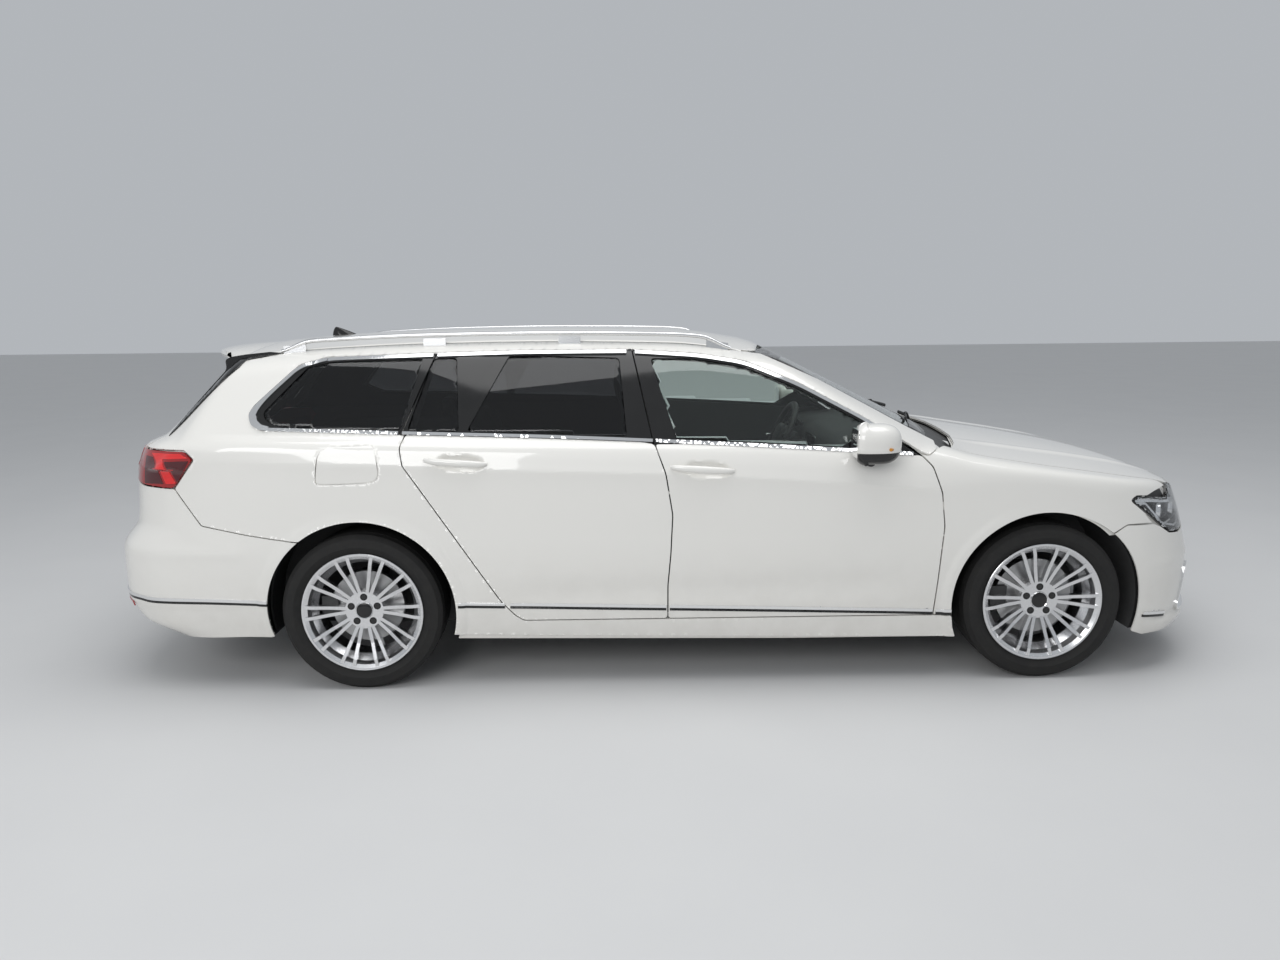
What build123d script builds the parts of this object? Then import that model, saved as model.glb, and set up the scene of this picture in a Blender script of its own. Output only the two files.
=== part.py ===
from build123d import *
from math import asin, cos, degrees, radians, sin, sqrt
import os

# A five-door estate car in millimetres: +X to the nose, +Y to the left, +Z up, tyres on Z = 0.
os.makedirs("parts", exist_ok=True)

# Driving dimensions
LENGTH = 4767
BODY_WIDTH = 1832
WHEELBASE = 2791
TRACK = 1573
FRONT_OVERHANG = 856
TYRE_RADIUS = 328
SHUT_GAP = 8
RUNNING_FIT = 0.05
LOOSE_FIT = 0.3
SKIN = 3
GLASS = 5
GLASS_DEPTH = 12
REBATE = 10

# Tied places
HALF_LENGTH = LENGTH / 2
HALF_WIDTH = BODY_WIDTH / 2
FRONT_AXLE_X = HALF_LENGTH - FRONT_OVERHANG + 0.5
REAR_AXLE_X = FRONT_AXLE_X - WHEELBASE
AXLE_Z = TYRE_RADIUS
WHEEL_Y = TRACK / 2
ARCH_RADIUS = TYRE_RADIUS + 54
LINER_RADIUS = ARCH_RADIUS + 20
FAR = 3000

# Half sections across the car as (y, z) at x = 0: the lower body, swept along a rake, and the glass house
LOWER_RAKE = 0.046
LOWER_SECTION = [
    (838, 60), (868, 150), (896, 300), (905, 480), (909, 650), (914, 780), (916, 880), (912, 925),
    (893, 985), (868, 1020), (800, 1040),
]
CABIN_SECTION = [(880, 930), (872, 1010), (846, 1075), (798, 1170), (746, 1262), (702, 1330), (650, 1382), (560, 1428), (500, 1500)]
# Half plans as (x, y), nose first: below the bumper ledge, above it, and the two screens at their own heights
LEDGE_Z = 690
LOW_PLAN = [
    (2383.5, 0), (2376, 250), (2338, 470), (2262, 640), (2160, 760), (1990, 862), (1700, 908), (1200, 916), (-1500, 916),
    (-1900, 904), (-2130, 862), (-2240, 790), (-2300, 690), (-2350, 480), (-2378, 240), (-2383.5, 0),
]
HIGH_PLAN = [
    (2340, 0), (2325, 250), (2270, 480), (2190, 640), (2110, 755), (1960, 852), (1700, 902), (1200, 916), (-1300, 916),
    (-1700, 902), (-1960, 868), (-2080, 820), (-2150, 740), (-2225, 620), (-2275, 430), (-2300, 0),
]
SCREEN_Z = 1016
SCREEN_SLOPE = -2.0
SCREEN_PLAN = [(1150, 0), (1141, 260), (1100, 520), (1045, 700), (940, 850), (800, 1000)]
BACK_Z = 1036
BACK_SLOPE = 1.05
BACK_PLAN = [(-2160, 0), (-2152, 300), (-2122, 560), (-2075, 700), (-2000, 800), (-1900, 900)]
# Side silhouette as (x, z)
SILHOUETTE = [
    (2200, 155), (2340, 168), (2376, 215), (2383.5, 300), (2383.5, 400), (2368, 510), (2335, 640), (2290, 757), (2100, 1300),
    (-2060, 1300), (-2160, 1050), (-2246, 1005), (-2288, 880), (-2306, 700), (-2375, 600), (-2383.5, 520), (-2383.5, 380),
    (-2350, 290), (-2250, 232), (-1900, 214),
]
# Middle profiles of the crowned tops as (x, z)
ROOF_LINE = [(-2384, 1322), (-1900, 1389), (-1400, 1431), (-1000, 1448), (-600, 1453), (0, 1440), (368, 1392), (700, 1320), (1400, 1120)]
HOOD_LINE = [(-2384, 1120), (1000, 1040), (1240, 985), (1500, 941), (1800, 893), (2070, 838), (2290, 757), (2420, 668)]
SPOILER_LINE = [(-2095, 1352), (-2080, 1366), (-1990, 1381), (-1780, 1399)]
ROOF_CROWN = 3800
HOOD_CROWN = 7000


def whole(half):
    """Closed outline from its half with positive second numbers: (x, y) mirrored in y."""
    return half + [(x, -y) for x, y in reversed(half) if y]


def whole_section(half):
    """Closed section from its half with positive first numbers: (y, z) mirrored in y."""
    return half + [(-y, z) for y, z in reversed(half) if y]


def grown(points, grow):
    """Face of a closed outline, grown by an offset."""
    face = make_face(Polyline(*points, close=True))
    return offset(face, grow, kind=Kind.INTERSECTION) if grow else face


def swept_section(points, inset, rake=0):
    """Prism along the car from a (y, z) section, falling towards the nose by the rake."""
    plane = Plane(origin=(-FAR, 0, rake * FAR), x_dir=(0, 1, 0), z_dir=(1, 0, 0))
    face = plane.location * grown(whole_section(points), -inset)
    return extrude(face, amount=2 * FAR * sqrt(1 + rake * rake), dir=(1, 0, -rake))


def leaning_prism(half, inset, height, slope):
    """Prism of a plan outline at one height, leaning with the slope, from below the belt to above the roof."""
    stretch = sqrt(1 + slope * slope)
    low, high = 880, 1520
    face = Pos(slope * (low - height), 0, low) * grown(whole(half), -inset * stretch)
    return extrude(face, amount=(high - low) * stretch, dir=(slope, 0, 1))


def crowned_lid(line, crown, inset=0, bottom=60):
    """Solid under a crowned top: the middle profile turned about an axis far below."""
    points = [(x, z - inset) for x, z in line] + [(line[-1][0], bottom), (line[0][0], bottom)]
    middle = max(z for _, z in line)
    axis = Axis((0, 0, middle - crown), (1, 0, 0))
    spread = degrees(asin(1.1 * HALF_WIDTH / crown))
    face = Plane.XZ.location * make_face(Polyline(*points, close=True))
    return revolve(face.rotate(axis, -spread), axis=axis, revolution_arc=2 * spread)


def lower_body(inset):
    """Raked section, cut to the two plans and the side silhouette."""
    plans = plan_prism(whole(LOW_PLAN), 0, LEDGE_Z - inset, -inset)
    plans += plan_prism(whole(HIGH_PLAN), 0, FAR, -inset)
    solid = swept_section(LOWER_SECTION, inset, LOWER_RAKE) & plans
    return solid & side_prism(SILHOUETTE, -FAR, FAR, -inset)


def cabin(inset):
    """The glass house alone, moved inwards by the inset."""
    solid = swept_section(CABIN_SECTION, inset) & crowned_lid(ROOF_LINE, ROOF_CROWN, inset)
    solid &= leaning_prism(SCREEN_PLAN + [(-FAR, 1000)], inset, SCREEN_Z, SCREEN_SLOPE)
    return solid & leaning_prism([(FAR, 0), (FAR, 1000)] + BACK_PLAN[::-1], inset, BACK_Z, BACK_SLOPE)


def hull(inset):
    """The whole body as one solid, moved inwards by the inset."""
    return (lower_body(inset) & crowned_lid(HOOD_LINE, HOOD_CROWN, inset)) + cabin(inset)


def box(x0, x1, y0, y1, z0, z1):
    """Box between two corners."""
    size = (x1 - x0, y1 - y0, z1 - z0)
    return Pos((x0 + x1) / 2, (y0 + y1) / 2, (z0 + z1) / 2) * Box(*size)


def side_face(points, grow=0):
    """Face in the side view from (x, z) points, grown by an offset."""
    face = make_face(Polyline(*[(x, z) for x, z in points], close=True))
    if grow:
        face = offset(face, grow, kind=Kind.INTERSECTION)
    return Plane.XZ.location * face


def side_prism(points, y0, y1, grow=0):
    """Prism along Y from a side-view outline."""
    face = Pos(0, y0, 0) * side_face(points, grow)
    return extrude(face, amount=y1 - y0, dir=(0, 1, 0))


def plan_prism(points, z0, z1, grow=0):
    """Prism along Z from a plan-view outline."""
    face = make_face(Polyline(*points, close=True))
    if grow:
        face = offset(face, grow, kind=Kind.INTERSECTION)
    return extrude(Pos(0, 0, z0) * face, amount=z1 - z0, dir=(0, 0, 1))


def front_prism(points, x0, x1, grow=0):
    """Prism along X from a front-view outline of (y, z) points."""
    face = make_face(Polyline(*points, close=True))
    if grow:
        face = offset(face, grow, kind=Kind.INTERSECTION)
    plane = Plane(origin=(x0, 0, 0), x_dir=(0, 1, 0), z_dir=(1, 0, 0))
    return extrude(plane.location * face, amount=x1 - x0, dir=(1, 0, 0))


def drum(x, z, radius, y0, y1):
    """Cylinder along Y."""
    return Pos(x, (y0 + y1) / 2, z) * Rot(90, 0, 0) * Cylinder(radius, abs(y1 - y0))


def post(x, y, radius, z0, z1):
    """Cylinder along Z."""
    return Pos(x, y, (z0 + z1) / 2) * Cylinder(radius, z1 - z0)


def mirrored(shape):
    """The same shape on the other side of the car."""
    return mirror(shape, about=Plane.XZ)


def pair(shape):
    """A left piece and its mirror image as one set of solids."""
    return Compound(children=list(shape.solids()) + list(mirrored(shape).solids()))


# Side-view outlines as (x, z)
BELT_CUT = [(-153, 1377), (-75, 1018), (-24, 891), (3, 722), (-5, 561), (-17, 429), (-18, 285)]
FRONT_DOOR = BELT_CUT + [
    (1073, 285), (1086, 435), (1101, 658), (1084, 795), (1045, 904), (1003, 952),
    (772, 1102), (525, 1233), (309, 1322), (122, 1358),
]
REAR_DOOR = BELT_CUT + [
    (-610, 288), (-640, 310), (-696, 366), (-1063, 936), (-1074, 1004), (-1055, 1061), (-975, 1366),
]
FRONT_GLASS = [(-122, 1340), (-60, 1030), (940, 962), (772, 1075), (525, 1203), (309, 1291), (122, 1325)]
REAR_GLASS = [(-186, 1344), (-112, 1034), (-520, 1050), (-1020, 1068), (-950, 1334)]
QUARTER_GLASS = [(-1010, 1340), (-1085, 1078), (-1540, 1090), (-1625, 1130), (-1480, 1310), (-1380, 1334)]
FUEL_FLAP = [(-1412, 876), (-1398, 862), (-1180, 868), (-1153, 900), (-1166, 1000), (-1185, 1017), (-1390, 1012)]
REAR_CUT = [(-2011, 838), (-1878, 700), (-1588, 640), (-1588, 100), (-2600, 100), (-2600, 838)]
BUMPER_CUT = [(1780, 604), (2060, 618), (2140, 640), (2600, 640), (2600, 60), (1780, 60)]
HEADLAMP = [(1940, 730), (2054, 632), (2140, 650), (2500, 640), (2500, 760), (2113, 748)]
# Plan outline of the bonnet as (x, y)
BONNET = [
    (1285, 0), (1262, 400), (1200, 650), (1152, 790), (1400, 812), (1735, 800), (1950, 765),
    (2110, 690), (2225, 480), (2285, 0),
]
BONNET = BONNET + [(x, -y) for x, y in reversed(BONNET[1:-1])]
# Front-view outlines of the screens as (y, z)
WINDSCREEN = [(-720, 960), (-700, 1040), (-610, 1240), (-545, 1372), (545, 1372), (610, 1240), (700, 1040), (720, 960)]
TAILGATE = [(-640, 1500), (-640, 1330), (-735, 1060), (-742, 1000), (-690, 860), (-640, 690)]
TAILGATE = TAILGATE + [(-y, z) for y, z in reversed(TAILGATE)]
REAR_SCREEN = [(-585, 1330), (-640, 1160), (-655, 1065), (655, 1065), (640, 1160), (585, 1330)]

# Rear and front end of a roof rail
RAIL_ENDS = (-1608, 264)

# Jacking pads under the sills
JACK_X = (900, -640)
JACK_Y = 770
JACK_Z = 170

# Hinge axes
FRONT_HINGE = (1022, 900)
REAR_HINGE = (-52, 896)
HINGE_HEIGHTS = (430, 800)
HINGE_PIN = 6
KNUCKLE_RADIUS = 11
BONNET_HINGE = (1165, 930)
BONNET_HINGE_Y = 740
TAILGATE_HINGE = (-1834, 1373)
TAILGATE_HINGE_Y = 420
TAILGATE_SWEEP = 53
FLAP_HINGE = (-1176, 895)


# Inner boxes of the doors and the openings round them, clear of the pillars and hinges
FRONT_BOX = [
    (40, 315), (985, 315), (990, 700), (975, 880), (930, 955), (930, 1100), (600, 1500),
    (-400, 1500), (-153, 1370), (-72, 1018), (20, 891), (34, 722),
]
REAR_BOX = [
    (-112, 315), (-600, 330), (-668, 400), (-1010, 930), (-1040, 1004), (-1040, 1061), (-980, 1500),
    (-100, 1500), (-150, 1377), (-112, 1018),
]
FRONT_OPENING = [
    (-10, 300), (1150, 300), (1150, 700), (1100, 840), (1052, 925), (1012, 960), (777, 1111), (529, 1242),
    (311, 1331), (123, 1364), (-155, 1384), (-90, 1018), (-40, 891), (-10, 722),
]
REAR_OPENING = [
    (10, 300), (-600, 306), (-690, 372), (-1045, 930), (-1080, 1004), (-1061, 1061), (-981, 1371),
    (-150, 1384), (-60, 1018), (-10, 891), (10, 722),
]
FENDER = [
    (1073, 100), (1073, 280), (1086, 435), (1101, 658), (1084, 795), (1045, 904), (1003, 952), (960, 990),
    (1000, 1060), (2600, 1060), (2600, 100),
]
ROOF_REGION = [(620, 1500), (620, 1376), (400, 1376), (300, 1335), (-1785, 1335), (-1785, 1500)]
TAIL_LAMP = [(-1958, 992), (-1936, 955), (-2011, 840), (-2400, 840), (-2400, 1004), (-2087, 1004)]
PILLAR_A = [(1000, 225), (1115, 225), (1115, 1020), (1000, 1020)]
PILLAR_B = [(-100, 225), (15, 225), (10, 722), (-40, 1018), (-120, 1400), (-230, 1400), (-150, 1018), (-100, 722)]
# Free space inside the walls, as (x, z) in the side view and (y, z) in the front view
CAVITY_SIDE = [
    (1115, 225), (1115, 940), (1000, 1000), (420, 1310), (250, 1372), (0, 1394), (-600, 1404),
    (-1400, 1384), (-1740, 1350), (-2080, 1020), (-2190, 930), (-2190, 225),
]
CAVITY_FRONT = [(818, 225), (818, 1010), (785, 1080), (690, 1290), (600, 1372), (400, 1404)]
CAVITY_FRONT = CAVITY_FRONT + [(-y, z) for y, z in reversed(CAVITY_FRONT)]
ENGINE_BAY = [(1135, 760), (1720, 760), (2040, 690), (2170, 430), (2200, 0)]
ENGINE_BAY = ENGINE_BAY + [(x, -y) for x, y in reversed(ENGINE_BAY[:-1])]
DOOR_SEAL = 8
PILLAR_DEPTH = 44
ROOF_HALF = 560


def left(x0=-FAR, x1=FAR, z0=0, z1=FAR, y0=0):
    """Box over the left side of the car."""
    return box(x0, x1, y0, FAR, z0, z1)


def cavity_space(grow):
    """Flat-faced free space inside the walls."""
    return side_prism(CAVITY_SIDE, -FAR, FAR) & front_prism(CAVITY_FRONT, -FAR, FAR, grow)


body = hull(0)
under_skin = hull(SKIN)
backing = hull(SKIN + LOOSE_FIT)
cavity = cavity_space(0)
pane_outside = cabin(GLASS_DEPTH)
pane_inside = cabin(GLASS_DEPTH + GLASS)
rebate_space = cabin(GLASS_DEPTH - LOOSE_FIT)
body_left = body & left(y0=5)
wall_left = body_left - cavity
door_wall = body_left - cavity_space(DOOR_SEAL)
bonnet_zone = plan_prism(BONNET, 560, 1200, SHUT_GAP / 2)
nodes = {}


def skin(prism):
    """Thin outer sheet of the body inside a prism."""
    return (body & prism) - under_skin


def arch(axle_x, radius, inner_y, outer_y=FAR):
    """Wheel arch cylinder on the left."""
    return drum(axle_x, AXLE_Z, radius, inner_y, outer_y)


def hinge_knuckle(axis, reach):
    """Moving half of two door hinges: knuckles with arms to the door box."""
    x, y = axis
    shape = Part()
    for height in HINGE_HEIGHTS:
        shape += box(x - reach, x, y - 9, y + 5, height - 20, height + 20)
        shape += post(x, y, KNUCKLE_RADIUS, height - 20, height + 20)
    for height in HINGE_HEIGHTS:
        shape -= post(x, y, HINGE_PIN + RUNNING_FIT, height - 30, height + 30)
    return shape


def hinge_leaf(axis, wall_y):
    """Fixed half of two door hinges: lugs, pins and leaves to the pillar."""
    x, y = axis
    shape = Part()
    for height in HINGE_HEIGHTS:
        shape += post(x, y, HINGE_PIN, height - 34, height + 34)
        for low, high in ((-34, -21), (21, 34)):
            shape += post(x, y, KNUCKLE_RADIUS, height + low, height + high)
            shape += box(x - 10, x + 4, wall_y, y, height + low, height + high)
    return shape


def pane(prism):
    """Window pane between two inner layers of the glass house."""
    return (pane_outside & prism) - pane_inside


def window(shape, outline_prism, rebate_prism):
    """Cuts a window hole and its inner rebate."""
    return shape - outline_prism - (rebate_space & rebate_prism)


def door(outline, glass, box_outline, axis, reach):
    """Left door shell: a thin flange, a thick box, a window hole and hinge knuckles."""
    whole = side_prism(outline, 400, FAR, -SHUT_GAP / 2)
    flange = skin(whole)
    core = door_wall & whole & side_prism(box_outline, 400, FAR)
    shell = window(
        flange + core,
        side_prism(glass, 300, FAR),
        side_prism(glass, 300, FAR, REBATE + LOOSE_FIT),
    )
    return shell - post(*axis, KNUCKLE_RADIUS + 6, 390, 840) + hinge_knuckle(axis, reach)


def add_pair(name, shape):
    """One node on each side of the car."""
    nodes[name + "_left"] = shape
    nodes[name + "_right"] = mirrored(shape)


def build_doors():
    add_pair("door_front", door(FRONT_DOOR, FRONT_GLASS, FRONT_BOX, FRONT_HINGE, 45))
    add_pair("door_rear", door(REAR_DOOR, REAR_GLASS, REAR_BOX, REAR_HINGE, 68))
    for name, glass in (("front_door_glass", FRONT_GLASS), ("rear_door_glass", REAR_GLASS)):
        add_pair(name, pane(side_prism(glass, 300, FAR, REBATE)))


def wheelhouse():
    """Left rear wheelhouse inside the car."""
    outer = LINER_RADIUS + 8
    shell = arch(REAR_AXLE_X, outer, 620, 780) - arch(REAR_AXLE_X, LINER_RADIUS, 626, FAR)
    shell -= box(REAR_AXLE_X - 60, REAR_AXLE_X + 60, 600, 640, 0, 450)
    return shell & box(-FAR, FAR, 0, FAR, 215, FAR)


def side_frame():
    """Left side of the body: sill, pillars, roof rail and rear quarter."""
    frame = wall_left & left(-2190, 1115, 180, 1500, 430)
    frame -= box(-FAR, FAR, 0, 600, 0, 226)
    lining = (cavity - cavity_space(-PILLAR_DEPTH)) & left(y0=ROOF_HALF + 0.5)
    lining -= box(-FAR, FAR, 0, 774, 0, 300)
    frame += lining & (side_prism(PILLAR_A, 0, FAR) + side_prism(PILLAR_B, 0, FAR))
    frame -= side_prism(FRONT_DOOR, 862, FAR, SHUT_GAP / 2) + side_prism(REAR_DOOR, 862, FAR, SHUT_GAP / 2)
    frame -= box(FRONT_HINGE[0] - 7, FRONT_HINGE[0] + 55, 844, FAR, 281, 310)
    openings = side_prism(FRONT_OPENING, 400, FAR) + side_prism(REAR_OPENING, 400, FAR) - cavity
    frame -= openings
    frame -= side_prism(ROOF_REGION, 0, ROOF_HALF)
    frame -= front_prism(WINDSCREEN, 415, FAR, SHUT_GAP / 2)
    frame -= front_prism(TAILGATE, -FAR, -1700, SHUT_GAP / 2) & side_prism(
        [(-1785, 0), (-1785, 1500), (-FAR, 1500), (-FAR, 0)], 0, FAR
    )
    frame -= side_prism(REAR_CUT, 0, FAR) - backing
    frame -= side_prism(FENDER, 0, FAR, SHUT_GAP / 2) - backing
    frame -= side_prism(TAIL_LAMP, 760, FAR)
    frame -= arch(REAR_AXLE_X, LINER_RADIUS, 626)
    frame += wheelhouse()
    frame = window(
        frame,
        side_prism(QUARTER_GLASS, 300, FAR),
        side_prism(QUARTER_GLASS, 300, FAR, REBATE + LOOSE_FIT),
    )
    for x in JACK_X:
        frame += box(x - 35, x + 35, JACK_Y - 25, JACK_Y + 25, JACK_Z, 215)
    return frame + hinge_leaf(FRONT_HINGE, 780) + hinge_leaf(REAR_HINGE, 790)


def build_sides():
    frame = side_frame()
    nodes["side_frame_left"] = frame
    nodes["side_frame_right"] = cut_flap_pocket(mirrored(frame))
    nodes["fuel_flap"] = fuel_flap()
    nodes["rear_side_glass"] = pair(pane(side_prism(QUARTER_GLASS, 300, FAR, REBATE)))


def cut_flap_pocket(frame):
    """Right side with the filler pocket, the neck and the hinge pin of the flap."""
    x, y = FLAP_HINGE
    frame -= side_prism(FUEL_FLAP, -FAR, -868, SHUT_GAP / 2)
    frame -= box(-1215, -1140, -908, -866, 860, 1019)
    frame -= box(-1186, -1148, -930, -900, 862, 1016)
    frame += Pos(-1300, -874, 940) * Rot(90, 0, 0) * Cylinder(28, 14)
    for low, high in ((906, 918), (952, 964)):
        frame += box(x - 6, x + 6, -y, -866, low, high)
        frame += post(x, -y, 6, low, high)
    return frame + post(x, -y, 2.5, 906, 964)


def fuel_flap():
    """Skin of the filler flap with its knuckle on the hinge pin."""
    x, y = FLAP_HINGE
    lid = skin(side_prism(FUEL_FLAP, -FAR, -700, -SHUT_GAP / 8))
    knuckle = post(x, -y, 6, 919, 951) + box(x - 40, x, -y - 18, -y, 925, 945)
    return lid + knuckle - post(x, -y, 2.5 + RUNNING_FIT, 900, 970)


def build_roof():
    roof = (body & side_prism(ROOF_REGION, -ROOF_HALF + 0.5, ROOF_HALF - 0.5)) - cavity
    roof -= front_prism(WINDSCREEN, 415, FAR, SHUT_GAP / 2)
    x, z = TAILGATE_HINGE
    roof -= drum(x, z, TAILGATE_SWEEP, -FAR, FAR)
    for y in (-TAILGATE_HINGE_Y, TAILGATE_HINGE_Y):
        for shift in (-22, 22):
            arm = box(x - 8, -1740, y + shift - 5, y + shift + 5, z - 12, z)
            roof += arm + drum(x, z, 10, y + shift - 5, y + shift + 5)
        roof += drum(x, z, 5, y - 27, y + 27)
    nodes["roof_panel"] = roof
    nodes["windscreen"] = pane(front_prism(WINDSCREEN, 425, FAR, 1))
    nodes["roof_rails"] = pair(rail(*RAIL_ENDS))


def rail(rear_x, front_x):
    """Left roof rail: a bowed bar on two feet and a middle foot."""
    middle = (rear_x + front_x) / 2
    top = [(rear_x, 1384), (rear_x + 170, 1444), (middle, 1462), (front_x - 150, 1432), (front_x, 1368)]
    under = [(front_x - 60, 1368), (front_x - 160, 1410), (middle, 1440), (rear_x + 180, 1422), (rear_x + 60, 1384)]
    bar = side_prism(top + under, 600, 632)
    feet = box(rear_x, rear_x + 110, 600, 632, 1360, 1420) + box(front_x - 110, front_x, 600, 632, 1330, 1385)
    return (bar + feet) - body


def build_tailgate():
    region = side_prism([(-1794, 500), (-1794, 1500), (-FAR, 1500), (-FAR, 500)], -FAR, FAR)
    gate = (body & front_prism(TAILGATE, -FAR, -1700, -SHUT_GAP / 2) & region) - cavity
    gate = window(
        gate,
        front_prism(REAR_SCREEN, -FAR, -1700),
        front_prism(REAR_SCREEN, -FAR, -1700, REBATE + LOOSE_FIT) & box(-FAR, -1700, -FAR, FAR, 0, 1340),
    )
    blade = [(-1794, 1330), (-1794, 1500), (-2089, 1500), (-2089, 1350), (-1960, 1345), (-1868, 1316)]
    spoiler = side_prism(blade, -610, 610) & crowned_lid(SPOILER_LINE, ROOF_CROWN)
    gate += spoiler - rebate_space
    x, z = TAILGATE_HINGE
    for y in (-TAILGATE_HINGE_Y, TAILGATE_HINGE_Y):
        gate -= box(x - 16, -1700, y - 34, y + 34, z - 30, z + 14) & drum(x, z, 46, -FAR, FAR)
        gate += box(x - 46, x, y - 14, y + 14, z - 8, z + 8) + drum(x, z, 10, y - 14, y + 14)
        gate -= drum(x, z, 5 + RUNNING_FIT, y - 30, y + 30)
    gate -= tail_inner_space(0)
    nodes["tailgate"] = gate
    nodes["tailgate_glass"] = pane(front_prism(REAR_SCREEN, -FAR, -1798, REBATE) & box(-FAR, -1700, -FAR, FAR, 0, 1339))
    nodes["tailgate_lamps"] = (body & tail_inner_space(LOOSE_FIT))


def tail_inner_space(shrink):
    """Room of the two lamps on the tailgate."""
    shape = Part()
    for side in (-1, 1):
        y0, y1 = sorted((side * (430 + shrink), side * (690 - 4 * shrink)))
        shape += box(-2400, -2215 - shrink, y0, y1, 880 + shrink, 1000 - shrink)
    return shape


def build_front():
    zone = side_prism(FENDER, 5, FAR, -SHUT_GAP / 2)
    bumper_zone = side_prism(BUMPER_CUT, 0, FAR)
    fender = skin(zone) - bonnet_zone - arch(FRONT_AXLE_X, ARCH_RADIUS, 400)
    fender -= side_prism(BUMPER_CUT, 0, FAR, 1) + side_prism(HEADLAMP, 380, FAR, 2)
    fender -= box(0, FAR, -FAR, 700, 0, 600) + box(2150, FAR, -FAR, FAR, 0, FAR)
    fender -= box(1100, 1196, 0, 792, 935, FAR)
    fender &= box(960, 2300, 560, FAR, 262, 1100)
    nodes["front_fenders"] = pair(fender)
    nodes["front_body"] = front_body()
    nose = body & box(1781, 2500, -FAR, FAR, 60, 640)
    bumper = nose - under_skin
    bumper &= side_prism(BUMPER_CUT, -FAR, FAR)
    bumper -= lamp_prism(2) + arch_pair(FRONT_AXLE_X, ARCH_RADIUS, 400)
    for side in (-1, 1):
        bumper -= arch_side(side, LINER_RADIUS, 400, 872)
    bumper -= front_prism([(-330, 470), (-300, 700), (300, 700), (330, 470)], 2200, FAR)
    bumper -= front_prism([(-430, 215), (-400, 350), (400, 350), (430, 215)], 2200, FAR)
    bumper -= plan_prism([(-FAR, -FAR), (2000, -FAR), (2000, FAR), (-FAR, FAR)], 0, 240) & box(0, 2000, -700, 700, 0, 240)
    nodes["front_bumper"] = bumper
    grille = (backing & box(2200, 2500, -329, 329, 471, 639)) - box(0, 2270, -FAR, FAR, 0, FAR)
    nodes["front_grille"] = grille
    lamps = (body & lamp_prism(0.7)) - plan_prism(LAMP_INNER, 500, 900)
    nodes["headlamps"] = lamps
    panel = body & plan_prism(BONNET, 560, 1200, -SHUT_GAP / 2) & box(0, FAR, -FAR, FAR, 640, 1200)
    panel -= crowned_lid(HOOD_LINE, HOOD_CROWN, SKIN + 1)
    ring = plan_prism(BONNET, 560, 1200, -60) - plan_prism(BONNET, 560, 1200, -150)
    ring = (body & ring) - crowned_lid(HOOD_LINE, HOOD_CROWN, 22)
    nodes["bonnet"] = panel + ring + bonnet_knuckles()


LAMP_INNER = [(1900, -760), (2020, -730), (2130, -600), (2200, -400), (2200, 400), (2130, 600), (2020, 730), (1900, 760)]


def lamp_prism(grow):
    """Room of both headlamps."""
    return side_prism(HEADLAMP, 430 - grow, FAR, grow) + side_prism(HEADLAMP, -FAR, grow - 430, grow)


def arch_pair(axle_x, radius, inner_y):
    return arch(axle_x, radius, inner_y) + arch(axle_x, radius, -FAR, -inner_y)


def bonnet_knuckles():
    x, z = BONNET_HINGE
    shape = Part()
    for y in (-BONNET_HINGE_Y, BONNET_HINGE_Y):
        shape += drum(x, z, 11, y - 12, y + 12) + box(x, x + 90, y - 12, y + 12, z - 8, z + 8)
        shape += box(x + 70, x + 90, y - 12, y + 12, z - 8, z + 40) & body
        shape -= drum(x, z, 5 + RUNNING_FIT, y - 30, y + 30)
    return shape


def front_body():
    """Aprons, bulkhead, wheel housings and strut towers behind the front skins."""
    shape = backing & box(1115, 2260, -FAR, FAR, 200, 960)
    shape -= plan_prism(ENGINE_BAY, 0, FAR)
    shape -= arch_pair(FRONT_AXLE_X, LINER_RADIUS, 500)
    shape -= bonnet_zone + plan_prism(BONNET, 900, 1200, 6)
    shape -= lamp_prism(1) + box(1110, 1310, -712.3, 712.3, 869.7, 1200) + box(1100, 1196, -795, 795, 925, 1200)
    shape += box(1115, 1135, -770, 770, 226, 860) - arch_pair(FRONT_AXLE_X, LINER_RADIUS, 500)
    for side in (-1, 1):
        house = arch_side(side, LINER_RADIUS + 6, 494, 790) - arch_side(side, LINER_RADIUS, 500, FAR)
        shape += house & box(1135, FAR, -FAR, FAR, 300, FAR)
        shape = shape - strut_hole(side) + strut_tower(side)
        shape += bonnet_hinge_base(side)
    return shape


def arch_side(side, radius, inner, outer):
    y0, y1 = sorted((side * inner, side * outer))
    return drum(FRONT_AXLE_X, AXLE_Z, radius, y0, y1)


# Wheel, hub and suspension places, measured from the middle plane of the left wheel where named so
HUB_FACE = 43
BORE_RADIUS = 28
BOLT_CIRCLE = 56
BOLT_RADIUS = 7
STUB_RADIUS = 30
SPOKE_PAIRS = 10
KING_LOW = (700, 190)
KING_HIGH = (560, 846)
KING_PIN = 10
# Section of the rim as (offset from the middle plane, radius)
RIM_SECTION = [
    (-107, 246), (-99, 246), (-97, 231), (-60, 228), (-40, 205), (30, 205), (60, 228), (97, 231), (99, 246),
    (107, 246), (107, 238), (97, 224), (64, 219), (36, 197), (-44, 197), (-64, 219), (-97, 224), (-107, 238),
]
TYRE_SECTION = [
    (-96, 232), (-98, 248), (-117.5, 276), (-113, 308), (-94, 325), (0, 328), (94, 325), (113, 308), (117.5, 276),
    (98, 248), (96, 232), (78, 232), (100, 282), (84, 312), (-84, 312), (-100, 282), (-78, 232),
]


def turned(section, x, y):
    """Ring turned about the wheel axis from (offset, radius) points."""
    face = make_face(Polyline(*section[::-1], close=True))
    ring = revolve(face, axis=Axis.X)
    return Pos(x, y, AXLE_Z) * Rot(0, 0, 90) * ring


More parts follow.
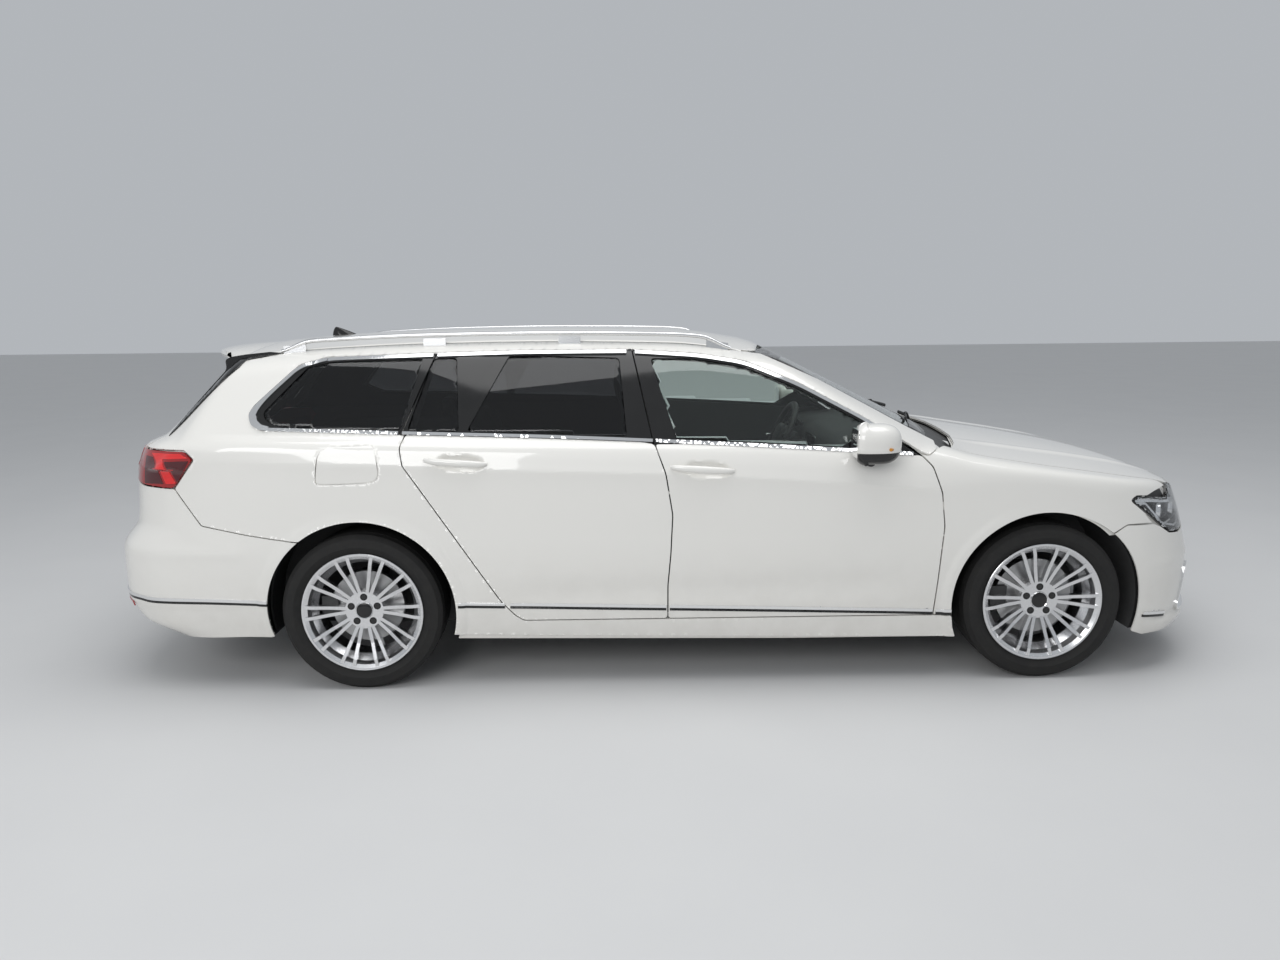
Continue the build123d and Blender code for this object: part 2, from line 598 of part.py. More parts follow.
def rod(start, end, radius):
    """Cylinder between two points."""
    p0, p1 = Vector(*start), Vector(*end)
    plane = Plane(origin=p0, z_dir=p1 - p0)
    return extrude(plane * Circle(radius), amount=(p1 - p0).length)


def king_point(height, side=1):
    """Point of the steering axis at a height."""
    share = (height - KING_LOW[1]) / (KING_HIGH[1] - KING_LOW[1])
    return (FRONT_AXLE_X, side * (KING_LOW[0] + share * (KING_HIGH[0] - KING_LOW[0])), height)


def rim(x):
    """Left rim: barrel, hub plate with five bolt holes and ten pairs of spokes."""
    shape = turned(RIM_SECTION, x, WHEEL_Y)
    face_y = WHEEL_Y + HUB_FACE
    shape += drum(x, AXLE_Z, 78, face_y, face_y + 28)
    profile = [(60, 2), (60, 26), (140, 40), (205, 60), (237, 62), (224, 46), (205, 36), (140, 12)]
    bar = extrude(make_face(Polyline(*profile, close=True)), amount=7, both=True)
    turns = [index * 360 / SPOKE_PAIRS + lean for index in range(SPOKE_PAIRS) for lean in (-6.2, 6.2)]
    shape = shape + [Pos(x, face_y, AXLE_Z) * Rot(0, turn, 0) * bar for turn in turns]
    shape -= drum(x, AXLE_Z, BORE_RADIUS + RUNNING_FIT, face_y - 5, face_y + 16)
    for index in range(5):
        angle = radians(90 + index * 72)
        hole = (x + BOLT_CIRCLE * cos(angle), AXLE_Z + BOLT_CIRCLE * sin(angle))
        shape -= drum(*hole, BOLT_RADIUS + LOOSE_FIT, face_y - 5, face_y + 60)
        shape -= drum(*hole, BOLT_RADIUS + 6, face_y + 18, face_y + 60)
    return shape


def hub_disc(x, radius):
    """Left hub with its stub shaft, brake disc and five bolts."""
    face_y = WHEEL_Y + HUB_FACE
    shape = drum(x, AXLE_Z, 76, face_y - 36, face_y)
    shape += drum(x, AXLE_Z, radius, face_y - 64, face_y - 36)
    shape += drum(x, AXLE_Z, STUB_RADIUS, 700, face_y - 60)
    shape += drum(x, AXLE_Z, BORE_RADIUS, face_y - 1, face_y + 12)
    for index in range(5):
        angle = radians(90 + index * 72)
        spot = (x + BOLT_CIRCLE * cos(angle), AXLE_Z + BOLT_CIRCLE * sin(angle))
        shape += drum(*spot, BOLT_RADIUS, face_y - 1, face_y + 19)
        shape += drum(*spot, BOLT_RADIUS + 4, face_y + 18.3, face_y + 27)
    return shape


def build_wheels():
    front_rim = rim(FRONT_AXLE_X)
    for name, x, radius in (("front", FRONT_AXLE_X, 160), ("rear", REAR_AXLE_X, 150)):
        add_pair("tyre_" + name, turned(TYRE_SECTION, x, WHEEL_Y))
        add_pair("rim_" + name, Pos(x - FRONT_AXLE_X, 0, 0) * front_rim)
        add_pair("disc_" + name, hub_disc(x, radius))


def caliper(x):
    """Left brake caliper round the edge of the disc, joined to the upright."""
    disc_y = WHEEL_Y + HUB_FACE - 64
    block = box(x - 186, x - 118, disc_y - 16, disc_y + 44, 290, 375)
    block -= box(x - 172, x - 60, disc_y - 6, disc_y + 34, 0, FAR)
    arm = box(x - 140, x, disc_y - 28, disc_y - 10, 300, 350)
    return block + arm


def knuckle():
    """Left front knuckle with strut, steering arm and caliper, turning on the inclined axis."""
    x = FRONT_AXLE_X
    disc_y = WHEEL_Y + HUB_FACE - 64
    shape = box(x - 34, x + 34, 690, disc_y - 8, 205, 445) + drum(x, AXLE_Z, 52, 690, disc_y - 8)
    shape += box(x - 28, x + 28, 640, 705, 372, 445)
    shape += rod(king_point(385), king_point(700), 27) + rod(king_point(700), king_point(822), 14)
    shape += rod(king_point(690), king_point(700), 62)
    shape += rod(king_point(820), king_point(834), 30) + rod(king_point(830), king_point(844), KING_PIN)
    shape += box(x - 140, x - 20, 690, 712, 262, 290)
    shape += caliper(x)
    shape -= drum(x, AXLE_Z, STUB_RADIUS + RUNNING_FIT, 600, 900)
    shape -= rod(king_point(120), king_point(232), KING_PIN + RUNNING_FIT)
    return shape


def strut_tower(side):
    """Cup over the strut with the bearing hole of its upper pin."""
    cup = rod(king_point(690, side), king_point(846, side), 90)
    cup -= rod(king_point(600, side), king_point(836, side), 82)
    return cup - rod(king_point(800, side), king_point(880, side), KING_PIN + RUNNING_FIT)


def strut_hole(side):
    return rod(king_point(600, side), king_point(836, side), 82)


def bonnet_hinge_base(side):
    """Fixed lugs and pin of one bonnet hinge."""
    x, z = BONNET_HINGE
    y = side * BONNET_HINGE_Y
    lugs = Part()
    for shift in (-20, 20):
        lugs += box(x - 11, x + 11, y + shift - 6, y + shift + 6, 850, z) + drum(x, z, 11, y + shift - 6, y + shift + 6)
    return lugs + box(x - 30, x + 11, y - 26, y + 26, 820, 860) + drum(x, z, 5, y - 26, y + 26)


def front_axle():
    """Subframe with the lower arms and their ball pins."""
    x = FRONT_AXLE_X
    shape = box(x - 190, x + 150, -390, 390, 205, 245) - box(x - 120, x + 80, -300, 300, 0, FAR)
    for side in (-1, 1):
        low, high = sorted((side * 380, side * 690))
        shape += box(x - 26, x + 26, low, high, 168, 196)
        shape += box(x - 60, x + 60, *sorted((side * 340, side * 400)), 168, 240)
        shape += rod(king_point(168, side), king_point(184, side), 26)
        shape += rod(king_point(170, side), king_point(228, side), KING_PIN)
    return shape


def rear_axle():
    """Rear cross member with arms, carriers, calipers and springs."""
    x = REAR_AXLE_X
    disc_y = WHEEL_Y + HUB_FACE - 64
    shape = box(x - 70, x + 70, -520, 520, 250, 330)
    for side in (-1, 1):
        def place(y0, y1):
            return sorted((side * y0, side * y1))
        carrier = box(x - 40, x + 40, *place(690, disc_y - 8), 230, 430) + drum(x, AXLE_Z, 50, *place(690, disc_y - 8))
        shape += carrier + box(x - 30, x + 30, *place(500, 700), 240, 290)
        shape += box(x - 24, x + 24, *place(500, 700), 390, 420) + box(x - 60, x + 60, *place(440, 520), 250, 420)
        piece = caliper(x)
        shape += piece if side > 0 else mirrored(piece)
        shape -= drum(x, AXLE_Z, STUB_RADIUS + RUNNING_FIT, *place(600, 900))
        shape += post(x - 115, side * 480, 50, 250, 500)
        shape += box(x - 120, x, *place(440, 520), 250, 290)
    return shape


def build_running_gear():
    add_pair("knuckle_front", knuckle())
    nodes["front_axle"] = front_axle()
    nodes["rear_axle"] = rear_axle()
    nodes["engine"] = box(1290, 1760, -380, 330, 245, 800)


def build_floor():
    floor = box(-2190, 1115, -600, 600, 180, 225) & body
    floor += box(-700, 1115, -130, 130, 225, 330)
    floor -= box(-700, 1130, -90, 90, 0, 290)
    cargo = box(-2190, -930, -600, 600, 540, 560) + box(-950, -930, -600, 600, 225, 560)
    floor += cargo + box(-2190, -2170, -600, 600, 225, 560)
    floor -= box(REAR_AXLE_X - 220, REAR_AXLE_X + 150, -600, 600, 0, 500)
    well = box(REAR_AXLE_X - 240, REAR_AXLE_X + 170, -600, 600, 225, 520) - box(
        REAR_AXLE_X - 220, REAR_AXLE_X + 150, -600, 600, 0, 500
    )
    nodes["floor_pan"] = floor + well
    tube = box(-700, 1000, -40, 40, 215, 265) + box(-1750, -1600, -420, 420, 150, 209.5)
    nodes["exhaust"] = tube


def rear_body():
    """Back panel and lamp seats behind the rear bumper."""
    shape = backing & box(-2400, -2190, -FAR, FAR, 200, 960)
    shape -= front_prism(TAILGATE, -FAR, -1700, SHUT_GAP / 2) & box(-FAR, 0, -FAR, FAR, 690, FAR)
    return shape - side_prism(TAIL_LAMP, 500, FAR, 1) - side_prism(TAIL_LAMP, -FAR, -500, 1)


def build_rear():
    nodes["rear_body"] = rear_body()
    tail = body & box(-2500, -1560, -FAR, FAR, 150, 840)
    bumper = (tail - under_skin) & side_prism(REAR_CUT, -FAR, FAR, -1)
    bumper -= front_prism(TAILGATE, -FAR, -1700, SHUT_GAP / 2) & box(-FAR, 0, -FAR, FAR, 680, FAR)
    bumper -= arch_pair(REAR_AXLE_X, ARCH_RADIUS, 400)
    bumper -= box(-2190, 0, -780, 780, 0, 320)
    nodes["rear_bumper"] = bumper
    lamp = body_left & side_prism(TAIL_LAMP, 761, FAR, -1)
    lamp += body_left & side_prism(TAIL_LAMP, 600, FAR, -1) & box(-FAR, -2191, 0, FAR, 0, FAR)
    lamp -= front_prism(TAILGATE, -FAR, -1700, SHUT_GAP / 2)
    nodes["tail_lamps"] = pair(lamp)


def build_cabin():
    cowl = (backing & box(1115.3, 1300, -712, 712, 870, 1100)) - bonnet_zone
    cowl -= front_prism(WINDSCREEN, 250, FAR, 4) + box(1100, 1300, -FAR, FAR, 958, FAR)
    nodes["cowl"] = cowl
    dash = side_prism([(1114.7, 600), (1114.7, 930), (900, 985), (740, 960), (700, 880), (760, 700), (900, 600)], -773.7, 773.7)
    dash -= rod((600, 370, 870), (800, 370, 782.5), 22.3)
    nodes["dashboard"] = dash & cavity
    ring = Pos(600, 370, 870) * Rot(0, -65, 0) * (Torus(178, 15) + Cylinder(60, 30) + Box(40, 330, 16))
    column = rod((600, 370, 870), (760, 370, 800), 22)
    nodes["steering_wheel"] = ring + column
    seat = box(-80, 430, 131, 610, 225, 500) + side_prism([(-60, 420), (60, 420), (-120, 1120), (-220, 1100)], 140, 600)
    seat += side_prism([(-150, 1080), (-110, 1080), (-150, 1280), (-240, 1270), (-220, 1080)], 240, 500)
    nodes["front_seats"] = pair(seat)
    bench = box(-900, -420, -610, 610, 330, 520) + side_prism([(-800, 480), (-700, 500), (-900, 1080), (-980, 1060)], -610, 610)
    nodes["rear_bench"] = bench


def mirror_housing():
    """Left door mirror with its foot on the door."""
    shell = side_prism([(710, 930), (872, 925), (884, 1000), (850, 1076), (730, 1083), (704, 1000)], 880, 1041.5)
    shell &= Pos(795, 960, 1000) * Sphere(112)
    foot = box(760, 830, 872, 900, 925, 960)
    return (shell + foot) - body


add_pair("mirror", mirror_housing())
build_doors()
build_sides()
build_roof()
build_tailgate()
build_front()
build_rear()
build_floor()
build_cabin()
build_wheels()
build_running_gear()
for name, shape in nodes.items():
    export_step(shape, f"parts/{name}.step")
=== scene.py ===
# %% [markdown]
# # An estate car, dressed on its solid model
# The solid model is the frame: it says where every panel, wheel and hinge is.
# This lesson lays smooth sheet metal, glass, lamps, wheels and trim on that frame.
# All tables below are in millimetres, with +X to the nose, +Y to the left and +Z up.

# %% Load the frame
import math

import bmesh
import bpy
import numpy as np
from mathutils import Matrix, Vector
from mathutils.geometry import delaunay_2d_cdt


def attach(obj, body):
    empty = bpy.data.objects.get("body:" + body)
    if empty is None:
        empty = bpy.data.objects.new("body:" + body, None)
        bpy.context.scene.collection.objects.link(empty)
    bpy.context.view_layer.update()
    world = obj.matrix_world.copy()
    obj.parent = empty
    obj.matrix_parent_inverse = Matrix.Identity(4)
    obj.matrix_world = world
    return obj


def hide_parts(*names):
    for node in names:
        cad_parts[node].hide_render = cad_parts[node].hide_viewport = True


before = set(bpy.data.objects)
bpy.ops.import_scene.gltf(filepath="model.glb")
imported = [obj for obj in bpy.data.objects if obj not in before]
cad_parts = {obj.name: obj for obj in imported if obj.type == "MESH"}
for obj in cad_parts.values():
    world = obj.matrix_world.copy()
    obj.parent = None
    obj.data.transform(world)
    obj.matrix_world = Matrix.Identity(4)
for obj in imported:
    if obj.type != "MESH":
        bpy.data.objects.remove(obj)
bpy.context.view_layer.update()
print("frame loaded with", len(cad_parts), "nodes")

# %% [markdown]
# ## Curves from tables
# A designer keeps a car's shape in a few drawn lines. Each line here is a short table.
# A monotone cubic goes through the rows without overshooting, so a flat stretch stays flat.

# %% Curves from tables
FRONT_AXLE, REAR_AXLE, AXLE_Z, WHEEL_Y = 1528.0, -1263.0, 328.0, 786.5
ARCH_RADIUS = 380.0


def drawn_line(rows):
    """Between two rows a cubic whose end slopes are harmonic means of the neighbouring straight slopes."""
    x, y = np.array(sorted(rows), float).T
    step = np.diff(x)
    slope = np.diff(y) / step
    rising = slope[:-1] * slope[1:] > 0
    inner = np.where(rising, 2 * slope[:-1] * slope[1:] / np.where(rising, slope[:-1] + slope[1:], 1), 0)
    tangent = np.concatenate([slope[:1], inner, slope[-1:]])

    def value(t):
        t = np.asarray(t, float)
        k = np.clip(np.searchsorted(x, t) - 1, 0, len(step) - 1)
        s = (t - x[k]) / step[k]
        c = np.clip(s, 0, 1)
        cubic = (
            (1 + 2 * c) * (1 - c) ** 2 * y[k] + c * (1 - c) ** 2 * step[k] * tangent[k]
            + c * c * (3 - 2 * c) * y[k + 1] + c * c * (c - 1) * step[k] * tangent[k + 1]
        )
        end = np.where(s < 0, tangent[k], tangent[k + 1])
        return cubic + (s - c) * step[k] * end

    return value


def steepness(line, t):
    """Slope of a drawn line, from its values one millimetre to each side."""
    return (line(t + 1) - line(t - 1)) / 2


def rise(t):
    """Smooth step from 0 to 1: 3t^2 - 2t^3 between 0 and 1."""
    t = np.clip(t, 0, 1)
    return t * t * (3 - 2 * t)


# %% [markdown]
# ## The body as one smooth field
# A pressed steel body is one continuous skin that is later cut into doors, wings and lids.
# So the whole body is one function of a point: below zero inside, above zero outside.
# Each drawn line gives one wall, and the walls meet in rounded corners.

# %% Drawn lines of the body
side_width = drawn_line([
    (60, 838), (150, 866), (300, 894), (480, 905), (650, 911), (780, 915), (880, 916), (925, 911),
    (985, 892), (1020, 868), (1045, 800),
])
glass_width = drawn_line(
    [(930, 880), (1010, 871), (1075, 847), (1170, 799), (1262, 748), (1330, 704), (1400, 640), (1500, 500)]
)
nose_side = drawn_line(
    [
        (100, 2180), (155, 2330), (205, 2372), (300, 2383), (400, 2383), (510, 2368), (640, 2335),
        (757, 2290), (1000, 2190)
    ]
)
tail_side = drawn_line([
    (100, 1960), (214, 2190), (290, 2340), (380, 2380), (520, 2383), (600, 2372), (700, 2308), (880, 2288),
    (1005, 2246),
    (1040, 2162), (1100, 2092), (1300, 1882),
])
nose_drop = drawn_line([(0, 0), (250, 8), (470, 48), (640, 125), (760, 227), (862, 395), (900, 560), (940, 1000)])
tail_drop = drawn_line([(0, 0), (240, 6), (480, 32), (690, 85), (790, 145), (862, 262), (900, 430), (940, 800)])
hood_top = drawn_line(
    [(-2384, 1120), (1000, 1040), (1240, 985), (1500, 941), (1800, 893), (2070, 838), (2290, 757), (2420, 668)]
)
roof_top = drawn_line([
    (-2384, 1322), (-1900, 1389), (-1400, 1431), (-1000, 1448), (-600, 1453), (0, 1440), (368, 1392),
    (700, 1320), (1400, 1120),
])
screen_front = drawn_line([(0, 1150), (260, 1141), (520, 1100), (700, 1045), (850, 940), (1000, 800)])
screen_back = drawn_line([(0, 2160), (300, 2152), (560, 2122), (700, 2075), (800, 2000), (900, 1900)])
shoulder_crease = drawn_line(
    [(-2300, 962), (-1846, 956), (-1149, 937), (-735, 914), (-27, 889), (752, 838), (1075, 813), (1300, 806)]
)


def round_max(a, b, radius):
    """The larger of two fields, with the corner rounded over radius."""
    near = np.maximum(radius - np.abs(a - b), 0) / radius
    return np.maximum(a, b) + near * near * radius / 4


def wall(amount, *slopes):
    """A field divided by the length of its gradient, so that it is near a distance."""
    return amount / np.sqrt(1 + sum(s * s for s in slopes))


def side_detail(x, z):
    """Proud and sunk shapes of the side in millimetres: shoulder crease, arch lips, hollow over the sill."""
    gap = z - shoulder_crease(x)
    fade = rise((1320 - x) / 420) * rise((x + 2280) / 300)
    crest = 7.0 * np.exp(-np.sqrt(gap * gap + 4) / np.where(gap > 0, 30.0, 46.0)) * fade
    reach = np.minimum(np.hypot(x - FRONT_AXLE, z - AXLE_Z), np.hypot(x - REAR_AXLE, z - AXLE_Z))
    lip = 6.0 * rise((426 - reach) / 16) * rise((760 - z) / 120)
    hollow = -7.0 * np.exp(-((z - 405 - 0.02 * x) / 55.0) ** 2) * rise((1030 - x) / 260) * rise((x + 760) / 260)
    return crest + lip + hollow


def lower_field(x, y, z):
    """Wings, doors, nose and tail, up to the belt."""
    across = np.abs(y)
    raked = z + 0.046 * x
    side = wall(across - side_width(raked) - side_detail(x, z), steepness(side_width, raked))
    nose = wall(x - nose_side(z) + nose_drop(across), steepness(nose_side, z), steepness(nose_drop, across))
    tail = wall(-x - tail_side(z) + tail_drop(across), steepness(tail_side, z), steepness(tail_drop, across))
    spine = 7 * np.exp(
        -((across - 455 - 0.09 * (2200 - x)) / 26.0) ** 2
    ) * rise((x - 1200) / 260) * rise((2230 - x) / 300)
    lid = wall(z - hood_top(x) + across ** 2 / 13700 - spine, steepness(hood_top, x), across / 6850)
    field = round_max(side, lid, 46)
    return round_max(round_max(field, tail, 36), nose, 34)


def cabin_field(x, y, z):
    """Glass house with roof, windscreen and rear screen."""
    across = np.abs(y)
    side = wall(across - glass_width(z), steepness(glass_width, z))
    roof = wall(z - roof_top(x) + across ** 2 / 7600, steepness(roof_top, x), across / 3800)
    front = wall(x - screen_front(across) + 2.0 * (z - 1016), 2.0, steepness(screen_front, across))
    back = wall(-x - screen_back(across) + 1.05 * (z - 1036), 1.05, steepness(screen_back, across))
    glass_house = round_max(round_max(round_max(side, roof, 60), front, 26), back, 20)
    return np.maximum(glass_house, 930 - z)


def body_field(x, y, z):
    """Joined field: the smaller of the two, with the inner corner filled over 10 mm."""
    return -round_max(-lower_field(x, y, z), -cabin_field(x, y, z), 10)


def field_direction(points):
    """Gradient of the body field at points, from differences over one millimetre."""
    steps = np.eye(3)
    columns = [body_field(*(points + s).T) - body_field(*(points - s).T) for s in steps]
    return np.stack(columns, 1) / 2


print("mid roof height", round(float(roof_top(-600))), "shoulder at the wheels", round(float(side_width(880))))

# %% [markdown]
# ## Charts: flat drawings wrapped on the body
# A panel is drawn flat, as its side, plan or front view, and every point of the drawing is then
# pushed along a ray until it meets the body. Each kind of view is one chart below.

# %% Charts
def meet_body(start, direction, reach, inset=0.0, field=body_field):
    """Halves the stretch of each ray in which the field passes inset, thirty times."""
    near, far = np.zeros(len(start)), np.full(len(start), float(reach))
    for _ in range(30):
        middle = (near + far) / 2
        outside = field(*(start + direction * middle[:, None]).T) + inset > 0
        far, near = np.where(outside, middle, far), np.where(outside, near, middle)
    return start + direction * near[:, None]


def columns(*parts):
    """Rows of points from numbers and arrays."""
    return np.stack(np.broadcast_arrays(*[np.asarray(p, float) for p in parts]), 1)


def side_chart(flat, inset=0.0):
    """(x, z) seen from the left, pushed outwards along +Y."""
    return meet_body(columns(flat[:, 0], 200, flat[:, 1]), columns(0 * flat[:, 0], 1, 0), 900, inset)


def window_chart(flat, inset=0.0):
    """(x, z) seen from the left, pushed outwards until it meets the glass house alone."""
    return meet_body(columns(flat[:, 0], 200, flat[:, 1]), columns(0 * flat[:, 0], 1, 0), 900, inset, cabin_field)


def plan_chart(flat, inset=0.0):
    """(x, y) seen from above, pushed up along +Z."""
    return meet_body(columns(flat[:, 0], flat[:, 1], 500), columns(0 * flat[:, 0], 0, 1), 1100, inset)


def nose_chart(flat, inset=0.0):
    """(y, z) seen from the front, pushed along +X."""
    return meet_body(columns(-200, flat[:, 0], flat[:, 1]), columns(0 * flat[:, 0] + 1, 0, 0), 2800, inset)


def tail_chart(flat, inset=0.0):
    """(y, z) seen from behind, pushed along -X."""
    return meet_body(columns(-900, flat[:, 0], flat[:, 1]), columns(0 * flat[:, 0] - 1, 0, 0), 1700, inset)


def wrap_chart(centre):
    """(a, z) round one end of the car: a is 1000 times the angle about an upright line at centre."""
    def chart(flat, inset=0.0):
        turn = flat[:, 0] / 1000 if centre > 0 else math.pi - flat[:, 0] / 1000
        return meet_body(columns(centre, 0 * turn, flat[:, 1]), columns(np.cos(turn), np.sin(turn), 0), 1500, inset)
    return chart


def shoulder_chart(flat, inset=0.0):
    """(x, a): a is 600 times the angle above the ground about a long line inside the wing."""
    turn = flat[:, 1] / 600
    return meet_body(columns(flat[:, 0], 330, 480), columns(0 * turn, np.cos(turn), np.sin(turn)), 1100, inset)


front_wrap, rear_wrap = wrap_chart(1300.0), wrap_chart(-1400.0)


# %% [markdown]
# ## Sheets cut from a drawing
# A flat drawing, its holes and its creases are filled with a net of triangles whose edges follow every
# drawn line exactly. That gives clean shut lines, which a plain rectangular grid can't follow.
# The net is then put on its chart, and Solidify gives the sheet its thickness.

# %% Outlines and nets
def spaced(points, gap, closed=True):
    """Points along straight runs, no further apart than gap."""
    points = np.array(points, float)
    ends = np.vstack([points[1:], points[:1]]) if closed else points[1:]
    starts = points if closed else points[:-1]
    rows = []
    for a, b in zip(starts, ends):
        count = max(1, math.ceil(np.hypot(*(b - a)) / gap))
        rows.append(a + (b - a) * np.arange(count)[:, None] / count)
    if not closed:
        rows.append(points[-1:])
    return np.vstack(rows)


def softened(points, radius, closed=True):
    """Each corner becomes a parabola that starts radius before it, or a third of a short run."""
    points = np.array(points, float)
    last = np.roll(points, 1, 0)
    after = np.roll(points, -1, 0)
    t = np.linspace(0, 1, 7)[:, None]
    rows = []
    for k, (a, b, c) in enumerate(zip(last, points, after)):
        if not closed and k in (0, len(points) - 1):
            rows.append(b[None])
            continue
        into, out = a - b, c - b
        start = b + into * min(0.36, radius / max(np.hypot(*into), 1e-6))
        stop = b + out * min(0.36, radius / max(np.hypot(*out), 1e-6))
        rows.append(start * (1 - t) ** 2 + 2 * b * t * (1 - t) + stop * t * t)
    return np.vstack(rows)


def inside(outline, spots):
    """True where a spot is inside a closed outline: an odd number of its edges crosses a ray to the right."""
    a, b = outline, np.roll(outline, -1, 0)
    x, y = spots[:, 0][:, None], spots[:, 1][:, None]
    across = (a[:, 1] > y) != (b[:, 1] > y)
    with np.errstate(divide="ignore", invalid="ignore"):
        meet = a[:, 0] + (y - a[:, 1]) * (b[:, 0] - a[:, 0]) / (b[:, 1] - a[:, 1])
    return ((x < meet) & across).sum(1) % 2 == 1


def net(outline, holes=(), creases=(), gap=14.0):
    """(spots, triangles) filling an outline with holes; creases are open lines that become edges."""
    loops = [spaced(outline, gap)] + [spaced(h, gap) for h in holes]
    lines = [spaced(c, gap, False) for c in creases]
    low, high = loops[0].min(0), loops[0].max(0)
    rows = np.arange(low[1], high[1], gap * 0.87)
    grid = np.vstack([
        columns(np.arange(low[0] + gap * (0.25 + 0.5 * (k % 2)), high[0], gap), row) for k, row in enumerate(rows)
    ])
    grid = grid[inside(loops[0], grid)]
    for hole in loops[1:]:
        grid = grid[~inside(hole, grid)]
    drawn = np.vstack(loops + lines)
    nearest = np.concatenate(
        [
            np.hypot(
                *(drawn[None] - part[:, None]).transpose(2, 0, 1)
            ).min(1) for part in np.array_split(grid, 40) if len(part)
        ]
    )
    grid = grid[nearest > gap * 0.45]
    edges, first = [], 0
    for loop in loops:
        edges += [(first + k, first + (k + 1) % len(loop)) for k in range(len(loop))]
        first += len(loop)
    for line in lines:
        edges += [(first + k, first + k + 1) for k in range(len(line) - 1)]
        first += len(line)
    spots = np.vstack([drawn, grid])
    out = delaunay_2d_cdt([Vector(s) for s in spots], edges, [], 0, 1e-4)
    flat, triangles = np.array(out[0], float), np.array(out[2], int)
    middle = flat[triangles].mean(1)
    keep = inside(loops[0], middle)
    for hole in loops[1:]:
        keep &= ~inside(hole, middle)
    return flat, triangles[keep]


def mesh_object(name, points, faces, finish=None, smooth=True):
    """A mesh at the origin from points in millimetres and an array of faces with equal corner counts."""
    mesh = bpy.data.meshes.new(name)
    faces = np.asarray(faces, int)
    mesh.vertices.add(len(points))
    mesh.vertices.foreach_set("co", (np.asarray(points, float) / 1000).ravel())
    mesh.loops.add(faces.size)
    mesh.loops.foreach_set("vertex_index", faces.ravel())
    mesh.polygons.add(len(faces))
    mesh.polygons.foreach_set("loop_start", np.arange(len(faces)) * faces.shape[1])
    mesh.update(calc_edges=True)
    mesh.validate()
    mesh.polygons.foreach_set("use_smooth", np.full(len(mesh.polygons), smooth))
    piece = bpy.data.objects.new(name, mesh)
    bpy.context.scene.collection.objects.link(piece)
    if finish:
        mesh.materials.append(finish)
    return piece


def outwards(points, faces):
    """Turns the faces whose normal is against the body field's gradient."""
    corners = points[faces]
    normal = np.cross(corners[:, 1] - corners[:, 0], corners[:, 2] - corners[:, 0])
    against = (normal * field_direction(corners.mean(1))).sum(1) < 0
    faces = faces.copy()
    faces[against] = faces[against][:, ::-1]
    return faces


def mirror_points(points):
    """The same points on the right side."""
    return points * np.array([1.0, -1.0, 1.0])


def thicken(piece, thickness, edge=0.0, offset=-1.0):
    """Gives a sheet its wall and a small rounded edge."""
    solid = piece.modifiers.new("wall", "SOLIDIFY")
    solid.thickness, solid.offset, solid.use_even_offset = thickness / 1000, offset, False
    if edge:
        bevel = piece.modifiers.new("edge", "BEVEL")
        bevel.width, bevel.segments, bevel.limit_method, bevel.angle_limit = edge / 1000, 2, "ANGLE", math.radians(50)
        bevel.harden_normals = False
        even = piece.modifiers.new("shading", "WEIGHTED_NORMAL")
        even.keep_sharp, even.weight = True, 80
    return piece


SIDES = {"left": 1, "right": -1}


def sheet_metal(name, chart, outline, finish, body, holes=(), creases=(), gap=14.0, inset=0.0, wall_mm=9.0, edge=1.2,
                right=False, extra=None):
    """A panel cut from a drawing and put on a chart, on the left or mirrored to the right."""
    flat, faces = net(outline, holes, creases, gap)
    points = chart(flat, inset)
    if extra is not None:
        points = extra(points)
    faces = outwards(points, faces)
    if right:
        points, faces = mirror_points(points), faces[:, ::-1]
    piece = thicken(mesh_object(name, points, faces, finish), wall_mm, edge)
    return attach(piece, body)


print("charts and nets ready")

# %% [markdown]
# ## Finishes
# Shader sums are written as Python expressions: a Wire wraps one socket, and each sum on it adds a Math node.
# Every finish varies a little over its surface, as real paint, rubber and cloth do.

# %% Wires and finishes
class Wire:
    """One output socket; sums on it become Math nodes in the same tree."""

    def __init__(self, book, socket):
        self.book, self.socket = book, socket

    def sum(self, operation, *values, clamp=False):
        return self.book.add("ShaderNodeMath", {"operation": operation, "use_clamp": clamp}, *values)[0]

    def __add__(self, other):
        return self.sum("ADD", self, other)

    def __radd__(self, other):
        return self.sum("ADD", other, self)

    def __sub__(self, other):
        return self.sum("SUBTRACT", self, other)

    def __rsub__(self, other):
        return self.sum("SUBTRACT", other, self)

    def __mul__(self, other):
        return self.sum("MULTIPLY", self, other)

    def __rmul__(self, other):
        return self.sum("MULTIPLY", other, self)

    def __truediv__(self, other):
        return self.sum("DIVIDE", self, other)

    def __rtruediv__(self, other):
        return self.sum("DIVIDE", other, self)

    def __pow__(self, other):
        return self.sum("POWER", self, other)


